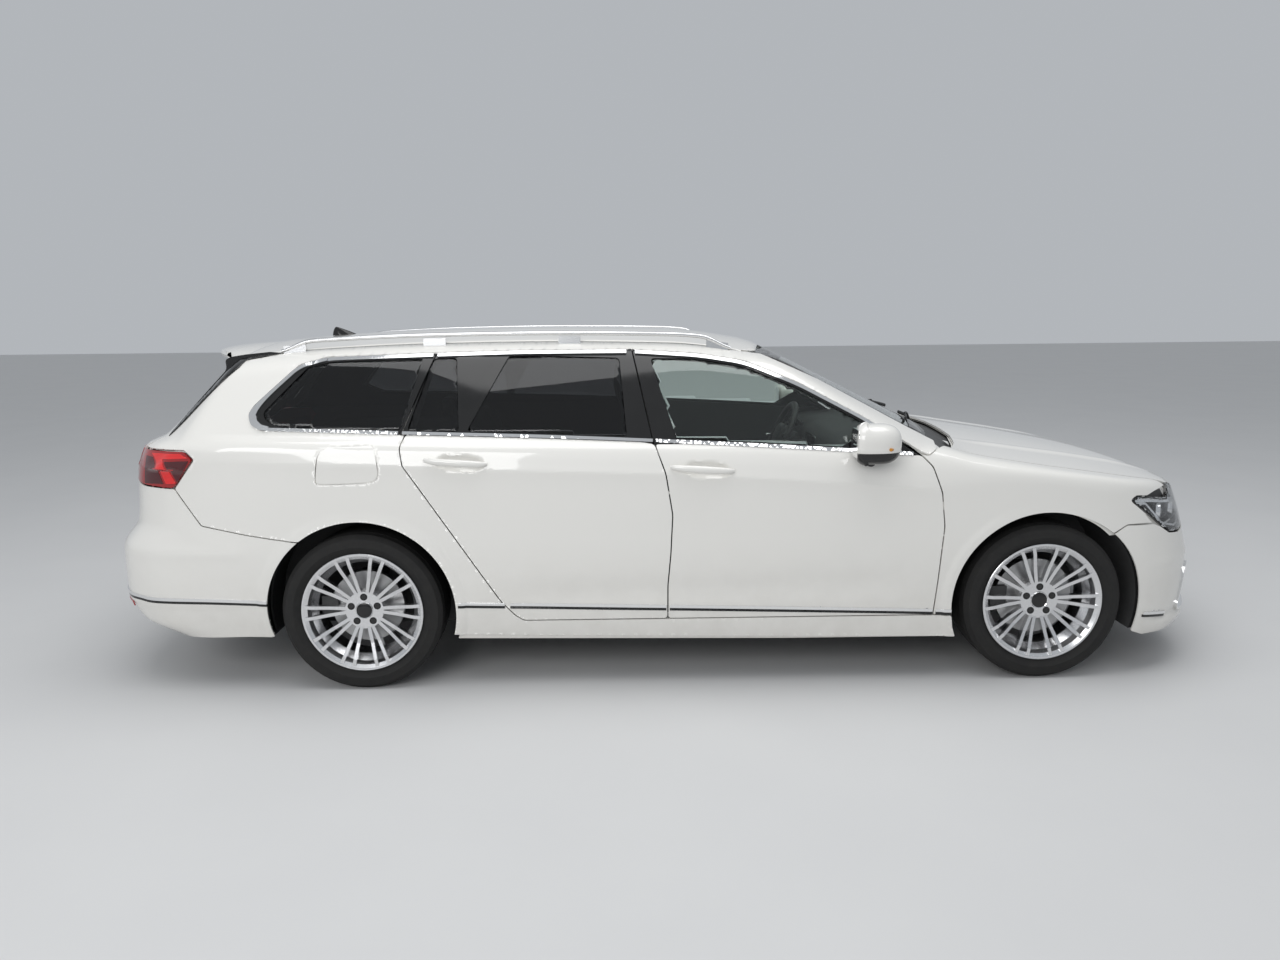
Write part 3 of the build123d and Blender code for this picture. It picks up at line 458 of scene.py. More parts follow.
class Finish:
    """A material with one Principled shader, and the nodes that feed it."""

    def __init__(self, name, **fixed):
        self.material = bpy.data.materials.new(name)
        self.material.use_nodes = True
        self.tree = self.material.node_tree
        self.shader = self.tree.nodes["Principled BSDF"]
        for label, value in fixed.items():
            self.shader.inputs[label.replace("_", " ")].default_value = value
        self.place = self.add("ShaderNodeTexCoord", {})[3]

    def add(self, kind, settings, *values, **named):
        """A node of that type: its settings first, then its inputs by order or by name; returns its outputs."""
        node = self.tree.nodes.new(kind)
        for key, value in settings.items():
            if key == "stops":
                while len(node.color_ramp.elements) < len(value):
                    node.color_ramp.elements.new(0.5)
                for element, (spot, colour) in zip(node.color_ramp.elements, value):
                    element.position, element.color = spot, (*colour, 1)
            else:
                setattr(node, key, value)
        pairs = list(zip(node.inputs, values)) + [(node.inputs[k.replace("_", " ")], v) for k, v in named.items()]
        for socket, value in pairs:
            if isinstance(value, Wire):
                self.tree.links.new(value.socket, socket)
            elif value is not None:
                socket.default_value = value
        return [Wire(self, s) for s in node.outputs]

    def noise(self, scale, detail=3.0, rough=0.5, at=None):
        """Soft random cloud from 0 to 1; scale is in waves per metre."""
        return self.add(
            "ShaderNodeTexNoise", {}, Vector=at or self.place, Scale=scale, Detail=detail, Roughness=rough
        )[0]

    def cells(self, scale, feature="F1", at=None):
        """Distance to scattered points; scale is in cells per metre."""
        return self.add("ShaderNodeTexVoronoi", {"feature": feature}, Vector=at or self.place, Scale=scale)[0]

    def height(self):
        """Z of the point, in metres."""
        return self.add("ShaderNodeSeparateXYZ", {}, self.place)[2]

    def ramp(self, wire, *stops):
        return self.add("ShaderNodeValToRGB", {"stops": stops}, wire)[0]

    def blend(self, factor, first, second):
        """Colour that goes from first to second."""
        node = self.tree.nodes.new("ShaderNodeMix")
        node.data_type = "RGBA"
        for socket, value in ((node.inputs[0], factor), (node.inputs[6], first), (node.inputs[7], second)):
            if isinstance(value, Wire):
                self.tree.links.new(value.socket, socket)
            else:
                socket.default_value = value if isinstance(value, float) else (*value, 1)
        return Wire(self, node.outputs[2])

    def feed(self, label, wire):
        self.tree.links.new(wire.socket, self.shader.inputs[label])
        return self

    def bump(self, wire, strength, distance):
        """Relief of wire, at most distance metres high."""
        out = self.add("ShaderNodeBump", {}, Strength=strength, Distance=distance, Height=wire)[0]
        return self.feed("Normal", out)


def colour(*numbers):
    return tuple(float(n) for n in numbers)


def car_paint(name, base, dusty=True):
    """Clear-coated paint: a flake that varies the colour, a slow ripple in the coat and dust low on the body."""
    f = Finish(name, Roughness=0.38, Coat_Weight=1.0, Coat_Roughness=0.035, Coat_IOR=1.55)
    flake = f.noise(2600.0, 1.0)
    slow = f.noise(3.0, 2.0)
    shade = f.blend(flake, base, tuple(min(1.0, c * 1.05) for c in base))
    if dusty:
        low = (0.62 - f.height()).sum("MULTIPLY", (0.62 - f.height()), 2.2, clamp=True)
        grime = low * f.noise(9.0, 4.0, 0.6) * 0.55
        shade = f.blend(grime, shade, colour(0.50, 0.47, 0.42))
        f.feed("Roughness", 0.36 + grime * 0.5 + slow * 0.04)
    f.feed("Base Color", shade)
    f.bump(f.noise(420.0, 1.0), 0.05, 0.0004)
    return f.material


def moulded(name, tone, rough, grain=900.0, depth=0.0002, tint=(1, 1, 1)):
    """Moulded plastic or rubber with a fine grain and slightly uneven gloss."""
    f = Finish(name)
    patch = f.noise(14.0, 3.0)
    dark, light = [tuple(tone * k * t for t in tint) for k in (0.85, 1.2)]
    f.feed("Base Color", f.blend(patch, dark, light))
    f.feed("Roughness", rough + patch * 0.1 - 0.05)
    return f.bump(f.cells(grain), 0.35, depth).material


def metal(name, tone, rough, brushed=0.0, tint=(1, 1, 1)):
    """Bare metal; brushed stretches the grain along the car."""
    f = Finish(name, Metallic=1.0)
    stretch = f.add(
        "ShaderNodeMapping", {}, Vector=f.place, Scale=(4.0, 90.0, 90.0) if brushed else (40.0, 40.0, 40.0)
    )[0]
    grain = f.noise(6.0, 3.0, at=stretch)
    f.feed(
        "Base Color",
        f.blend(grain, tuple(tone * 0.93 * t for t in tint), tuple(min(1.0, tone * 1.05 * t) for t in tint))
    )
    f.feed("Roughness", rough + grain * 0.08 - 0.04)
    return f.material


def pane(name, tint, see=1.0, rough=0.0):
    """Window glass: light goes through it twice at each pane, so the tint is the square root of the real one."""
    f = Finish(name, Roughness=rough, IOR=1.45, Transmission_Weight=see)
    haze = f.noise(2.0, 2.0)
    f.feed("Base Color", f.blend(haze, tint, tuple(t * 0.97 for t in tint)))
    return f.material


PEARL = (0.80, 0.785, 0.745)
paint = car_paint("pearl_paint", PEARL)
trim_gloss = moulded("gloss_black_trim", 0.012, 0.09, 300.0, 0.00003)
trim_satin = moulded("satin_black_trim", 0.022, 0.45)
seal_rubber = moulded("window_seal", 0.014, 0.62, 1500.0)
chrome = metal("bright_trim", 0.86, 0.09)
rail_metal = metal("anodised_rail", 0.78, 0.24, brushed=1.0)
wheel_metal = metal("wheel_silver", 0.76, 0.26, tint=(1.0, 1.0, 1.01))
disc_metal = metal("brake_disc_steel", 0.46, 0.34)
clear_glass = pane("green_tinted_glass", (0.83, 0.90, 0.86))
dark_glass = pane("privacy_glass", (0.20, 0.205, 0.21))
lens_glass = pane("lamp_lens", (0.93, 0.94, 0.95))
black_cabin = moulded("cabin_plastic", 0.028, 0.55, 1100.0, 0.0003)
headliner = moulded("headliner_cloth", 0.50, 0.85, 2200.0, 0.0003, (1.0, 0.97, 0.92))
carpet = moulded("carpet", 0.03, 0.95, 1600.0, 0.0012)
under_coat = moulded("underbody_coating", 0.05, 0.8, 500.0, 0.0006)
steel_dark = moulded("chassis_steel", 0.07, 0.5, 700.0, 0.0003)


def tyre_finish():
    """Rubber with patches of dust all over."""
    f = Finish("tyre_rubber")
    dust = f.noise(26.0, 4.0, 0.65)
    f.feed("Base Color", f.blend(dust, colour(0.010, 0.010, 0.011), colour(0.030, 0.029, 0.027)))
    f.feed("Roughness", 0.68 + dust * 0.22)
    f.shader.inputs["Specular IOR Level"].default_value = 0.3
    return f.bump(f.noise(600.0, 2.0), 0.25, 0.0004).material


def lamp_red(name, tone, glow=0.0):
    """Red lamp cover with fine vertical prisms under it."""
    f = Finish(name, Roughness=0.1, Coat_Weight=1.0, Coat_Roughness=0.02)
    rib = f.add("ShaderNodeTexWave", {"bands_direction": "Z"}, Vector=f.place, Scale=60.0)[1]
    f.feed("Base Color", f.blend(rib, tuple(c * 0.72 for c in tone), tone))
    f.feed("Emission Color", f.blend(rib, tuple(c * 0.5 for c in tone), tone))
    f.shader.inputs["Emission Strength"].default_value = glow
    return f.bump(rib, 0.15, 0.0006).material


def seat_cloth(name, tone):
    """Woven cloth: two crossed waves of thread."""
    f = Finish(name, Roughness=0.9, Sheen_Weight=0.35)
    across = f.add("ShaderNodeTexWave", {"bands_direction": "Y"}, Vector=f.place, Scale=150.0)[1]
    along = f.add("ShaderNodeTexWave", {"bands_direction": "Z"}, Vector=f.place, Scale=150.0)[1]
    weave = across * along
    f.feed("Base Color", f.blend(weave, tuple(tone * 0.7 for _ in range(3)), (tone * 1.3, tone * 1.3, tone * 1.35)))
    return f.bump(weave, 0.4, 0.0008).material


tyre_rubber = tyre_finish()
tail_red = lamp_red("tail_lamp_red", (0.40, 0.010, 0.012))
tail_dark = lamp_red("tail_lamp_dark_red", (0.085, 0.004, 0.007))
tail_bright = lamp_red("tail_lamp_bar", (0.80, 0.02, 0.02), 0.12)
indicator = moulded("indicator_amber", 0.55, 0.15, 400.0, 0.0001, (1.0, 0.42, 0.05))
cushion_cloth = seat_cloth("seat_cloth", 0.035)
mesh_black = moulded("intake_mesh", 0.008, 0.5, 120.0, 0.004)
print("finishes:", len(bpy.data.materials))

# %% [markdown]
# ## Inner structure kept from the solid model
# The solids behind the skin are right in shape, but they are flat-sided at the surface.
# A merged copy of each one is used, with everything near the skin pressed a little deeper,
# so that the smooth skin covers it and door edges, sills and pillars still show when a door opens.

# %% Copies pressed under the skin
def unit_direction(points):
    """Unit direction out of the body; points outside the skin come back to it along this."""
    away = field_direction(points)
    return away / np.maximum(np.linalg.norm(away, axis=1), 0.2)[:, None]


def pressed_copy(name, node, body, finish, edge_finish, depth=13.0, window_frames=False):
    """Copy of a solid: depth under the skin d in 0..26 mm becomes depth + d (26 - depth) / 26.
    Faces near the skin get the edge finish, apart from those round door windows."""
    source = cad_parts[node].data
    points = np.zeros(len(source.vertices) * 3)
    source.vertices.foreach_get("co", points)
    points = points.reshape(-1, 3) * 1000
    faces = np.zeros(len(source.polygons) * 3, int)
    source.polygons.foreach_get("vertices", faces)
    whole, back = np.unique(np.round(points, 3), axis=0, return_inverse=True)
    faces = back.ravel()[faces.reshape(-1, 3)]
    for _ in range(4):
        outside = np.maximum(body_field(*whole.T), 0)
        whole = whole - unit_direction(whole) * outside[:, None]
    away = unit_direction(whole)
    below = -body_field(*whole.T)
    wanted = depth + np.clip(below, 0, 26) * (26 - depth) / 26
    whole = whole - away * np.where(below < 26, wanted - below, 0)[:, None]
    piece = mesh_object(name, whole, faces, edge_finish, smooth=False)
    piece.data.materials.append(finish)
    middle = whole[faces].mean(1)
    inner = -body_field(*middle.T) > 34
    above_belt = (middle[:, 2] + 0.05 * middle[:, 0] > 990) & window_frames
    kinds = (inner | above_belt).astype(np.int32)
    if len(piece.data.polygons) == len(kinds):
        piece.data.polygons.foreach_set("material_index", kinds)
    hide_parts(node)
    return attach(piece, body)


for side in SIDES:
    for end in ("front", "rear"):
        pressed_copy(
            f"{end}_door_inner_{side}", f"door_{end}_{side}", f"door_{end}_{side}", black_cabin, paint,
            window_frames=True
        )
    pressed_copy("side_structure_" + side, "side_frame_" + side, "shell", black_cabin, paint)
pressed_copy("roof_lining", "roof_panel", "shell", headliner, paint)
pressed_copy("bonnet_inner", "bonnet", "bonnet", paint, paint)
pressed_copy("tailgate_inner", "tailgate", "tailgate", black_cabin, paint)
pressed_copy("wing_structure", "front_fenders", "shell", under_coat, paint)
pressed_copy("nose_structure", "front_body", "shell", under_coat, trim_satin)
pressed_copy("tail_structure", "rear_body", "shell", under_coat, paint)
print("inner structure pressed under the skin")

# %% [markdown]
# ## Shut lines of the side
# The doors, the wing and the rear quarter share their cut lines, so each line is drawn once.
# Every sheet is then drawn 2.5 mm short of the line, which leaves a gap of 5 mm.

# %% Cut lines in the side view
SILL_CUT = 284.0
B_CUT = [(-18, 284), (-17, 429), (-5, 561), (3, 722), (-24, 891), (-66, 1006)]
FRONT_CUT = [(1073, 284), (1086, 435), (1101, 658), (1084, 795), (1045, 904), (1000, 950)]
REAR_CUT = [(-606, 284), (-640, 306), (-696, 366), (-1063, 936), (-1075, 1004), (-1060, 1050)]
belt_line = drawn_line(
    [(-1700, 1076), (-1552, 1071), (-1066, 1053), (-522, 1034), (-74, 1013), (355, 989), (1009, 946)]
)
BAND_TOP = [
    (-1640, 1078), (-1684, 1136), (-1666, 1168), (-1503, 1325), (-1397, 1353), (-965, 1364), (-600, 1371),
    (-156, 1370),
    (122, 1351), (309, 1321), (525, 1233), (772, 1102), (1000, 962),
]
FLAP = [(-1412, 876), (-1398, 862), (-1180, 868), (-1153, 900), (-1166, 1000), (-1185, 1017), (-1390, 1012)]


def shrunk(outline, by):
    """Each corner moves inwards along the mean of its two edge normals, by / cos of half the turn."""
    outline = np.array(outline, float)
    outline = outline[np.hypot(*(outline - np.roll(outline, 1, 0)).T) > 1e-3]
    area = (outline[:, 0] * np.roll(outline[:, 1], -1) - np.roll(outline[:, 0], -1) * outline[:, 1]).sum()
    ahead = np.roll(outline, -1, 0) - outline
    ahead /= np.hypot(*ahead.T)[:, None]
    normal = np.stack([-ahead[:, 1], ahead[:, 0]], 1) * np.sign(area)
    mean = normal + np.roll(normal, 1, 0)
    mean /= np.maximum(np.hypot(*mean.T), 0.3)[:, None]
    return outline + mean * (by / np.maximum((mean * normal).sum(1), 0.45))[:, None]


def front_radius(degrees):
    """The front arch opens wider towards the bumper."""
    return ARCH_RADIUS + 26 * rise((80 - degrees) / 60)


def arch_points(axle, start, stop, radius=ARCH_RADIUS, count=40):
    """Points of a wheel arch between two angles in degrees, measured from +X up."""
    turn = np.radians(np.linspace(start, stop, count))
    return list(zip(axle + radius * np.cos(turn), AXLE_Z + radius * np.sin(turn)))


def belt(x0, x1, lift=0.0, count=8):
    """Points along the belt line from x0 to x1."""
    x = np.linspace(x0, x1, count)
    return list(zip(x, belt_line(x) + lift))


def side_view(points3):
    """(x, z) of points in space."""
    return [tuple(p) for p in points3[:, [0, 2]]]


HALF_GAP = 2.5
front_door_line = softened(B_CUT[:1] + FRONT_CUT + belt(960, -66)[:-1] + B_CUT[::-1][:-1], 16)
rear_door_line = softened(B_CUT + belt(-120, -1040) + REAR_CUT[::-1], 16)
creases = {
    "front": [(x, float(shoulder_crease(x))) for x in np.linspace(14, 1068, 90)],
    "rear": [(x, float(shoulder_crease(x))) for x in np.linspace(-1046, -34, 90)],
    "quarter": [(x, float(shoulder_crease(x))) for x in np.linspace(-1930, -1085, 80)],
}
HANDLES = {"front": (-5, 246), "rear": (-976, -731)}


def hand_hollow(middle_x):
    """Scoop behind a door handle: the skin goes in by 15 mm inside a soft oval."""
    def press(points):
        crest = shoulder_crease(points[:, 0])
        along = (points[:, 0] - middle_x) / 88.0
        up = (points[:, 2] - crest - 22) / 30.0
        depth = 15 * np.clip(1 - (np.abs(along) ** 3.2 + np.abs(up) ** 2.6), 0, 1) ** 0.6
        return points - np.array([0.0, 1.0, 0.0]) * depth[:, None]
    return press


for side in SIDES:
    mirrored = side == "right"
    for end, line in (("front", front_door_line), ("rear", rear_door_line)):
        low, high = HANDLES[end]
        hollow = hand_hollow(low * 0.42 + high * 0.58)
        sheet_metal(
            f"{end}_door_skin_{side}", side_chart, shrunk(line, HALF_GAP), paint, f"door_{end}_{side}",
            creases=[creases[end]], gap=11.0, right=mirrored, extra=hollow,
        )
print("four door skins")

# %% [markdown]
# ## Body side, wings, bonnet and roof
# The body side is one pressing on the real car: sill, rear quarter, rear pillar and the rail over the doors.
# Its outline takes its upper edges from the front, top and rear views, which is why charts are mixed here.

# %% Body side
gate_edge = side_view(tail_chart(np.array([(600, 1372), (632, 1335), (690, 1200), (733, 1062), (744, 1004)])))
screen_edge = side_view(nose_chart(np.array([(722, 985), (702, 1040), (612, 1240), (560, 1345)])))
ditch_x = np.linspace(300, -1770, 26)
ditch = side_view(plan_chart(columns(ditch_x, 585)))
body_side_line = (
    [(-896, 222), (-300, 208), (400, 196), (1174, 184), (1158, 230), (1151, SILL_CUT - HALF_GAP), (1073, SILL_CUT)]
    + [(-18, SILL_CUT)] + REAR_CUT + belt(-1090, -1600, 0.0, 5) + BAND_TOP
    + [(1034, 948), (1064, 962)] + screen_edge + ditch + gate_edge
    + [(-2091, 1003), (-1925, 1003), (-1887, 966), (-1978, 850), (-1878, 700), (-1700, 662), (-1588, 642)]
    + arch_points(REAR_AXLE, 127.5, -15.5)
)
body_side_line = shrunk(softened(body_side_line, 9), HALF_GAP)
flap_line = softened(FLAP, 64)
for side in SIDES:
    mirrored = side == "right"
    sheet_metal(
        "body_side_" + side, side_chart, body_side_line, paint, "shell", holes=[flap_line] if mirrored else [],
        creases=[creases["quarter"]], gap=13.0, right=mirrored,
    )
sheet_metal(
    "filler_flap_skin", side_chart, shrunk(flap_line, 4.5), paint, "fuel_flap", gap=12.0, right=True,
    wall_mm=3.0
)

# %% Wings
BONNET_HALF = [
    (1285, 0), (1275, 250), (1258, 450), (1210, 650), (1152, 790), (1240, 806), (1400, 812), (1560, 810),
    (1735, 800), (1850, 785),
    (1950, 765), (2040, 732), (2110, 690), (2180, 600), (2232, 480), (2268, 300), (2284, 120), (2287, 0),
]


def both_halves(half):
    """Closed plan outline from its left half."""
    return half + [(x, -y) for x, y in reversed(half) if y > 0]


def mixed_line(*runs):
    """Points in space from runs of (chart, flat points)."""
    return np.vstack([chart(np.array(flat, float)) for chart, flat in runs])


def to_shoulder(points3):
    return np.stack([points3[:, 0], 600 * np.arctan2(points3[:, 2] - 480, points3[:, 1] - 330)], 1)


wing_space = mixed_line(
    (
        side_chart,
        [(1073, SILL_CUT), (1148, SILL_CUT)] + arch_points(
            FRONT_AXLE, 186.5, 46.5, front_radius(np.linspace(186.5, 46.5, 40))
        )
    ),
    (side_chart, [(1860, 648), (1988, 644), (1940, 696), (1884, 738), (1876, 748), (1899, 763), (1960, 757)]),
    (plan_chart, [(2050, 764), (2094, 716)] + [p for p in BONNET_HALF[::-1] if 1150 < p[0] < 2090 and p[1] > 700]),
    (plan_chart, [(1120, 790)]),
    (side_chart, [(1062, 962), (1034, 948)] + FRONT_CUT[::-1][:-1]),
)
wing_line = shrunk(softened(to_shoulder(wing_space), 8), HALF_GAP)
for side in SIDES:
    sheet_metal("wing_" + side, shoulder_chart, wing_line, paint, "shell", gap=13.0, right=side == "right")

# %% Bonnet and roof
bonnet_line = shrunk(softened(both_halves(BONNET_HALF), 14), HALF_GAP)
sheet_metal("bonnet_skin", plan_chart, bonnet_line, paint, "bonnet", gap=17.0)
roof_half = [
    (432, 0), (426, 260), (384, 510), (350, 560), (296, 583), (-600, 583), (-1774, 583), (-1786, 500),
    (-1790, 0)
]
sheet_metal("roof_skin", plan_chart, shrunk(both_halves(roof_half), 1.5), paint, "shell", gap=24.0, edge=0.0)
print("body side, wings, bonnet and roof")

# %% [markdown]
# ## Strips and rings
# Bright trim, seals and window frames are narrow sheets beside a drawn line.
# A strip is the drawing between two offsets of a line; it is cut and put on a chart like a panel.

# %% Strips
def beside(line, by):
    """An open line moved to its left by a distance that may differ at each point."""
    line = np.array(line, float)
    ahead = np.gradient(line, axis=0)
    ahead /= np.maximum(np.hypot(*ahead.T), 1e-6)[:, None]
    aside = np.stack([-ahead[:, 1], ahead[:, 0]], 1)
    return line + aside * np.broadcast_to(np.asarray(by, float), len(line))[:, None]


def strip_outline(line, near, far):
    """Closed outline between two offsets of a line."""
    return np.vstack([beside(line, near), beside(line, far)[::-1]])


def trim_strip(
    name, chart, line, near, far, finish, body, inset=-1.0, wall_mm=5.0, gap=12.0, right=False
):
    """Narrow sheet between two offsets of a line on a chart."""
    outline = strip_outline(spaced(line, gap, False), near, far)
    return sheet_metal(
        name, chart, outline, finish, body, gap=gap, inset=inset, wall_mm=wall_mm, edge=0.8, right=right,
    )


def to_wrap(points3, centre):
    """Wrap chart position of points in space."""
    away = points3[:, 0] - centre if centre > 0 else centre - points3[:, 0]
    return np.stack([1000 * np.arctan2(points3[:, 1], away), points3[:, 2]], 1)


# %% [markdown]
# ## Side windows
# Each door and the rear quarter has a gloss black frame with window openings, a pane behind it
# and a bright strip round the whole band of windows.

# %% Side windows
band_line = softened(BAND_TOP, 55, closed=False)


def band(x0, x1, by=0.0):
    """Part of the upper edge of the window band between two x, moved down into the band."""
    part = beside(band_line, by)
    part = part[(part[:, 0] > min(x0, x1)) & (part[:, 0] < max(x0, x1)) & (part[:, 1] > 930)]
    return [tuple(p) for p in (part if x0 < x1 else part[::-1])]


B_UPPER = [(-66, 1006), (-153, 1377)]
C_UPPER = [(-1077, 1047), (-952, 1362)]
frame_regions = {
    "front": belt(-64, 985, 0, 30) + band(1000, -140) + B_UPPER[::-1],
    "rear": belt(-1072, -72, 0, 30) + B_UPPER[1:] + band(-165, -950) + C_UPPER[::-1],
    "quarter": belt(-1082, -1590, 0, 20) + [(-1640, 1078)] + band(-1690, -960) + C_UPPER[::-1],
}
glass_lines = {
    "front": [belt(26, 690, 17, 14) + [(796, 1052)] + band(790, -76, -22) + [(-77, 1335), (20, 1030)]],
    "rear": [
        belt(-815, -176, 17, 12) + [(-203, 1338)] + band(-215, -836, -20),
        [(-1052, 1068), (-846, 1060), (-866, 1345), (-962, 1343)],
    ],
    "quarter": [
        [(-1547, 1082), (-1076, 1069), (-1005, 1343)] + band(-1010, -1480, -20) + [(-1630, 1140), (-1612, 1108)]
    ],
}
bright_lines = {
    "front": [belt(-62, 968, 0, 40), band(985, -138)],
    "rear": [belt(-1070, -74, 0, 40), band(-172, -948)],
    "quarter": [belt(-1606, -1086, 0, 20), band(-960, -1400)],
}
windows = {"front": clear_glass, "rear": dark_glass, "quarter": dark_glass}
window_nodes = {"front": "front_door_glass_", "rear": "rear_door_glass_", "quarter": "rear_side_glass"}
for side in SIDES:
    mirrored = side == "right"
    for part in windows:
        body = "shell" if part == "quarter" else f"door_{part}_{side}"
        region = shrunk(softened(frame_regions[part], 6), HALF_GAP)
        openings = [softened(line, 18) for line in glass_lines[part]]
        sheet_metal(
            f"{part}_window_frame_{side}", window_chart, region, trim_gloss, body, holes=openings, gap=13.0,
            inset=1.0,
            wall_mm=7.0, right=mirrored,
        )
        for k, line in enumerate(openings):
            glazing = sheet_metal(
                f"{part}_window_{k}_{side}", window_chart, shrunk(line, -8), windows[part], body, gap=22.0, inset=5.0,
                wall_mm=4.0, edge=0, right=mirrored,
            )
            if k == 0 and (part != "quarter" or side == "left"):
                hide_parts(window_nodes[part] + (side if part != "quarter" else ""))
        for k, line in enumerate(bright_lines[part]):
            low = k == 0
            trim_strip(
                f"{part}_bright_strip_{k}_{side}", side_chart if low else window_chart, line, 0.5, 12.5, chrome, body,
                inset=-4.0 if low else -6.0, wall_mm=12, right=mirrored,
            )
corner_line = np.array(
    [(-1397, 1353), (-1503, 1325), (-1666, 1168), (-1684, 1136), (-1672, 1098), (-1640, 1078), (-1600, 1073.5)],
    float
)
corner_line = spaced(softened(corner_line, 40, closed=False), 10, False)
wide = 12.5 + 17 * np.exp(-(((corner_line[:, 0] + 1672) ** 2 + (corner_line[:, 1] - 1118) ** 2) / 70.0 ** 2))
for side in SIDES:
    trim_strip(
        "quarter_bright_corner_" + side, window_chart, corner_line, 0.5, wide, chrome, "shell", inset=-6.0,
        wall_mm=12, gap=30, right=side == "right"
    )
print("side windows")

# %% [markdown]
# ## Windscreen and cowl
# The windscreen has a black printed border. Below it lies the cowl, with the wiper arms.

# %% Windscreen and cowl
screen_line = softened(
    [
        (-712, 1002), (-702, 1042), (-612, 1240), (-560, 1352), (560, 1352), (612, 1240), (702, 1042),
        (712, 1002), (400, 1008), (0, 1011), (-400, 1008)
    ],
    14
)
screen = sheet_metal(
    "windscreen_pane", nose_chart, screen_line, clear_glass, "shell", gap=30.0, inset=5.0, wall_mm=5.0,
    edge=0
)
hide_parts("windscreen")
sheet_metal(
    "windscreen_border", nose_chart, shrunk(screen_line, -3), trim_gloss, "shell",
    holes=[softened(shrunk(screen_line, 34), 30)],
    gap=20.0, inset=4.0, wall_mm=0.8, edge=0,
)
cowl_half = [
    (1292, 0), (1280, 260), (1262, 452), (1214, 648), (1158, 762), (1114, 768), (1062, 740), (1100, 500),
    (1140, 260), (1154, 0)
]
cowl = sheet_metal(
    "cowl_cover", plan_chart, softened(both_halves(cowl_half), 10), trim_satin, "shell", gap=22.0,
    inset=22.0, wall_mm=6.0
)
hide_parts("cowl")


def tube(name, path, radius, finish, body, sides=12, flat=1.0, closed=False):
    """Round bar along a path: rings of a circle in the plane across the path; radius may differ at each point."""
    path = np.array(path, float)
    ahead = np.gradient(path, axis=0)
    if closed:
        ahead = np.roll(path, -1, 0) - np.roll(path, 1, 0)
    ahead /= np.linalg.norm(ahead, axis=1)[:, None]
    guide = np.array([0.0, 0.0, 1.0]) if abs(ahead[:, 2]).mean() < 0.8 else np.array([1.0, 0.0, 0.0])
    across = np.cross(ahead, guide)
    across /= np.linalg.norm(across, axis=1)[:, None]
    over = np.cross(across, ahead)
    turn = np.linspace(0, 2 * math.pi, sides, endpoint=False)
    size = np.broadcast_to(np.asarray(radius, float), len(path))[:, None, None]
    ring = (
        np.cos(turn)[None, :, None] * across[:, None] * size
        + np.sin(turn)[None, :, None] * over[:, None] * size * flat
    )
    points = (path[:, None] + ring).reshape(-1, 3)
    return grid_piece(
        name, points.reshape(len(path), sides, 3), finish, body, wrap_u=closed, wrap_v=True,
        caps=not closed
    )


def grid_piece(name, grid, finish, body, wrap_u=False, wrap_v=False, caps=False, smooth=True):
    """Surface over a grid of points (rows u, columns v), closed round either way; caps close both ends with fans."""
    rows, cols = grid.shape[:2]
    index = np.arange(rows * cols).reshape(rows, cols)
    u = np.arange(rows if wrap_u else rows - 1)
    v = np.arange(cols if wrap_v else cols - 1)
    uu, vv = [m.ravel() for m in np.meshgrid(u, v, indexing="ij")]
    up, vp = (uu + 1) % rows, (vv + 1) % cols
    quads = np.stack([index[uu, vv], index[up, vv], index[up, vp], index[uu, vp]], 1)
    points = grid.reshape(-1, 3)
    faces = np.vstack([quads[:, [0, 1, 2]], quads[:, [0, 2, 3]]])
    if caps:
        ends = np.stack([grid[0].mean(0), grid[-1].mean(0)])
        start = len(points)
        points = np.vstack([points, ends])
        k, n = np.arange(cols), (np.arange(cols) + 1) % cols
        faces = np.vstack([faces, np.stack([index[0, n], index[0, k], 0 * k + start], 1)[:, [1, 0, 2]],
                           np.stack([index[-1, n], index[-1, k], 0 * k + start + 1], 1)])
    piece = mesh_object(name, points, faces, finish, smooth)
    tidy_normals(piece)
    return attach(piece, body)


def tidy_normals(piece, angle=38):
    """Turns the faces outwards and splits the shading at sharp edges."""
    work = bmesh.new()
    work.from_mesh(piece.data)
    bmesh.ops.recalc_face_normals(work, faces=work.faces)
    for edge in work.edges:
        edge.smooth = len(edge.link_faces) != 2 or edge.calc_face_angle(0) < math.radians(angle)
    work.to_mesh(piece.data)
    work.free()


def on_glass(y, z, lift):
    """Points above the windscreen in space."""
    flat = columns(y, z)
    spots = nose_chart(flat)
    away = field_direction(spots)
    return spots + away / np.linalg.norm(away, axis=1)[:, None] * lift


t = np.linspace(0, 1, 30)
for name, start, stop in (("driver", (610, 1020), (-30, 1052)), ("passenger", (-60, 1022), (-560, 1050))):
    blade = on_glass(start[0] + (stop[0] - start[0]) * t, start[1] + (stop[1] - start[1]) * t, 8.0)
    tube(f"wiper_blade_{name}", blade, 5.0, seal_rubber, "shell", flat=1.6)
    pivot = plan_chart(np.array([(1140.0, 640.0) if name == "driver" else (1186.0, -80.0)]), 6.0)
    arm = np.vstack([pivot, on_glass(np.array([(stop[0] + start[0]) / 2]), np.array([1040.0]), 15.0)])
    line = arm[0] + (arm[1] - arm[0]) * t[:, None]
    line[:, 2] += 14 * np.sin(math.pi * t)
    tube(f"wiper_arm_{name}", line, 6.5 - 2.5 * t, trim_satin, "shell")
print("windscreen and cowl")

# %% [markdown]
# ## Tailgate, spoiler and rear lamps

# %% Tailgate
gate_half = [
    (0, 1352), (560, 1352), (606, 1350), (634, 1325), (690, 1200), (733, 1062), (743, 1002), (700, 872),
    (650, 708), (628, 690), (0, 686)
]
glass_half = [(0, 1335), (560, 1333), (592, 1318), (640, 1160), (662, 1076), (636, 1060), (300, 1052), (0, 1050)]


def mirrored_line(half):
    """Closed outline from a half drawing whose first and last rows are on the centre line."""
    return [tuple(p) for p in half] + [(-p[0], p[1]) for p in half[::-1] if p[0] > 0]


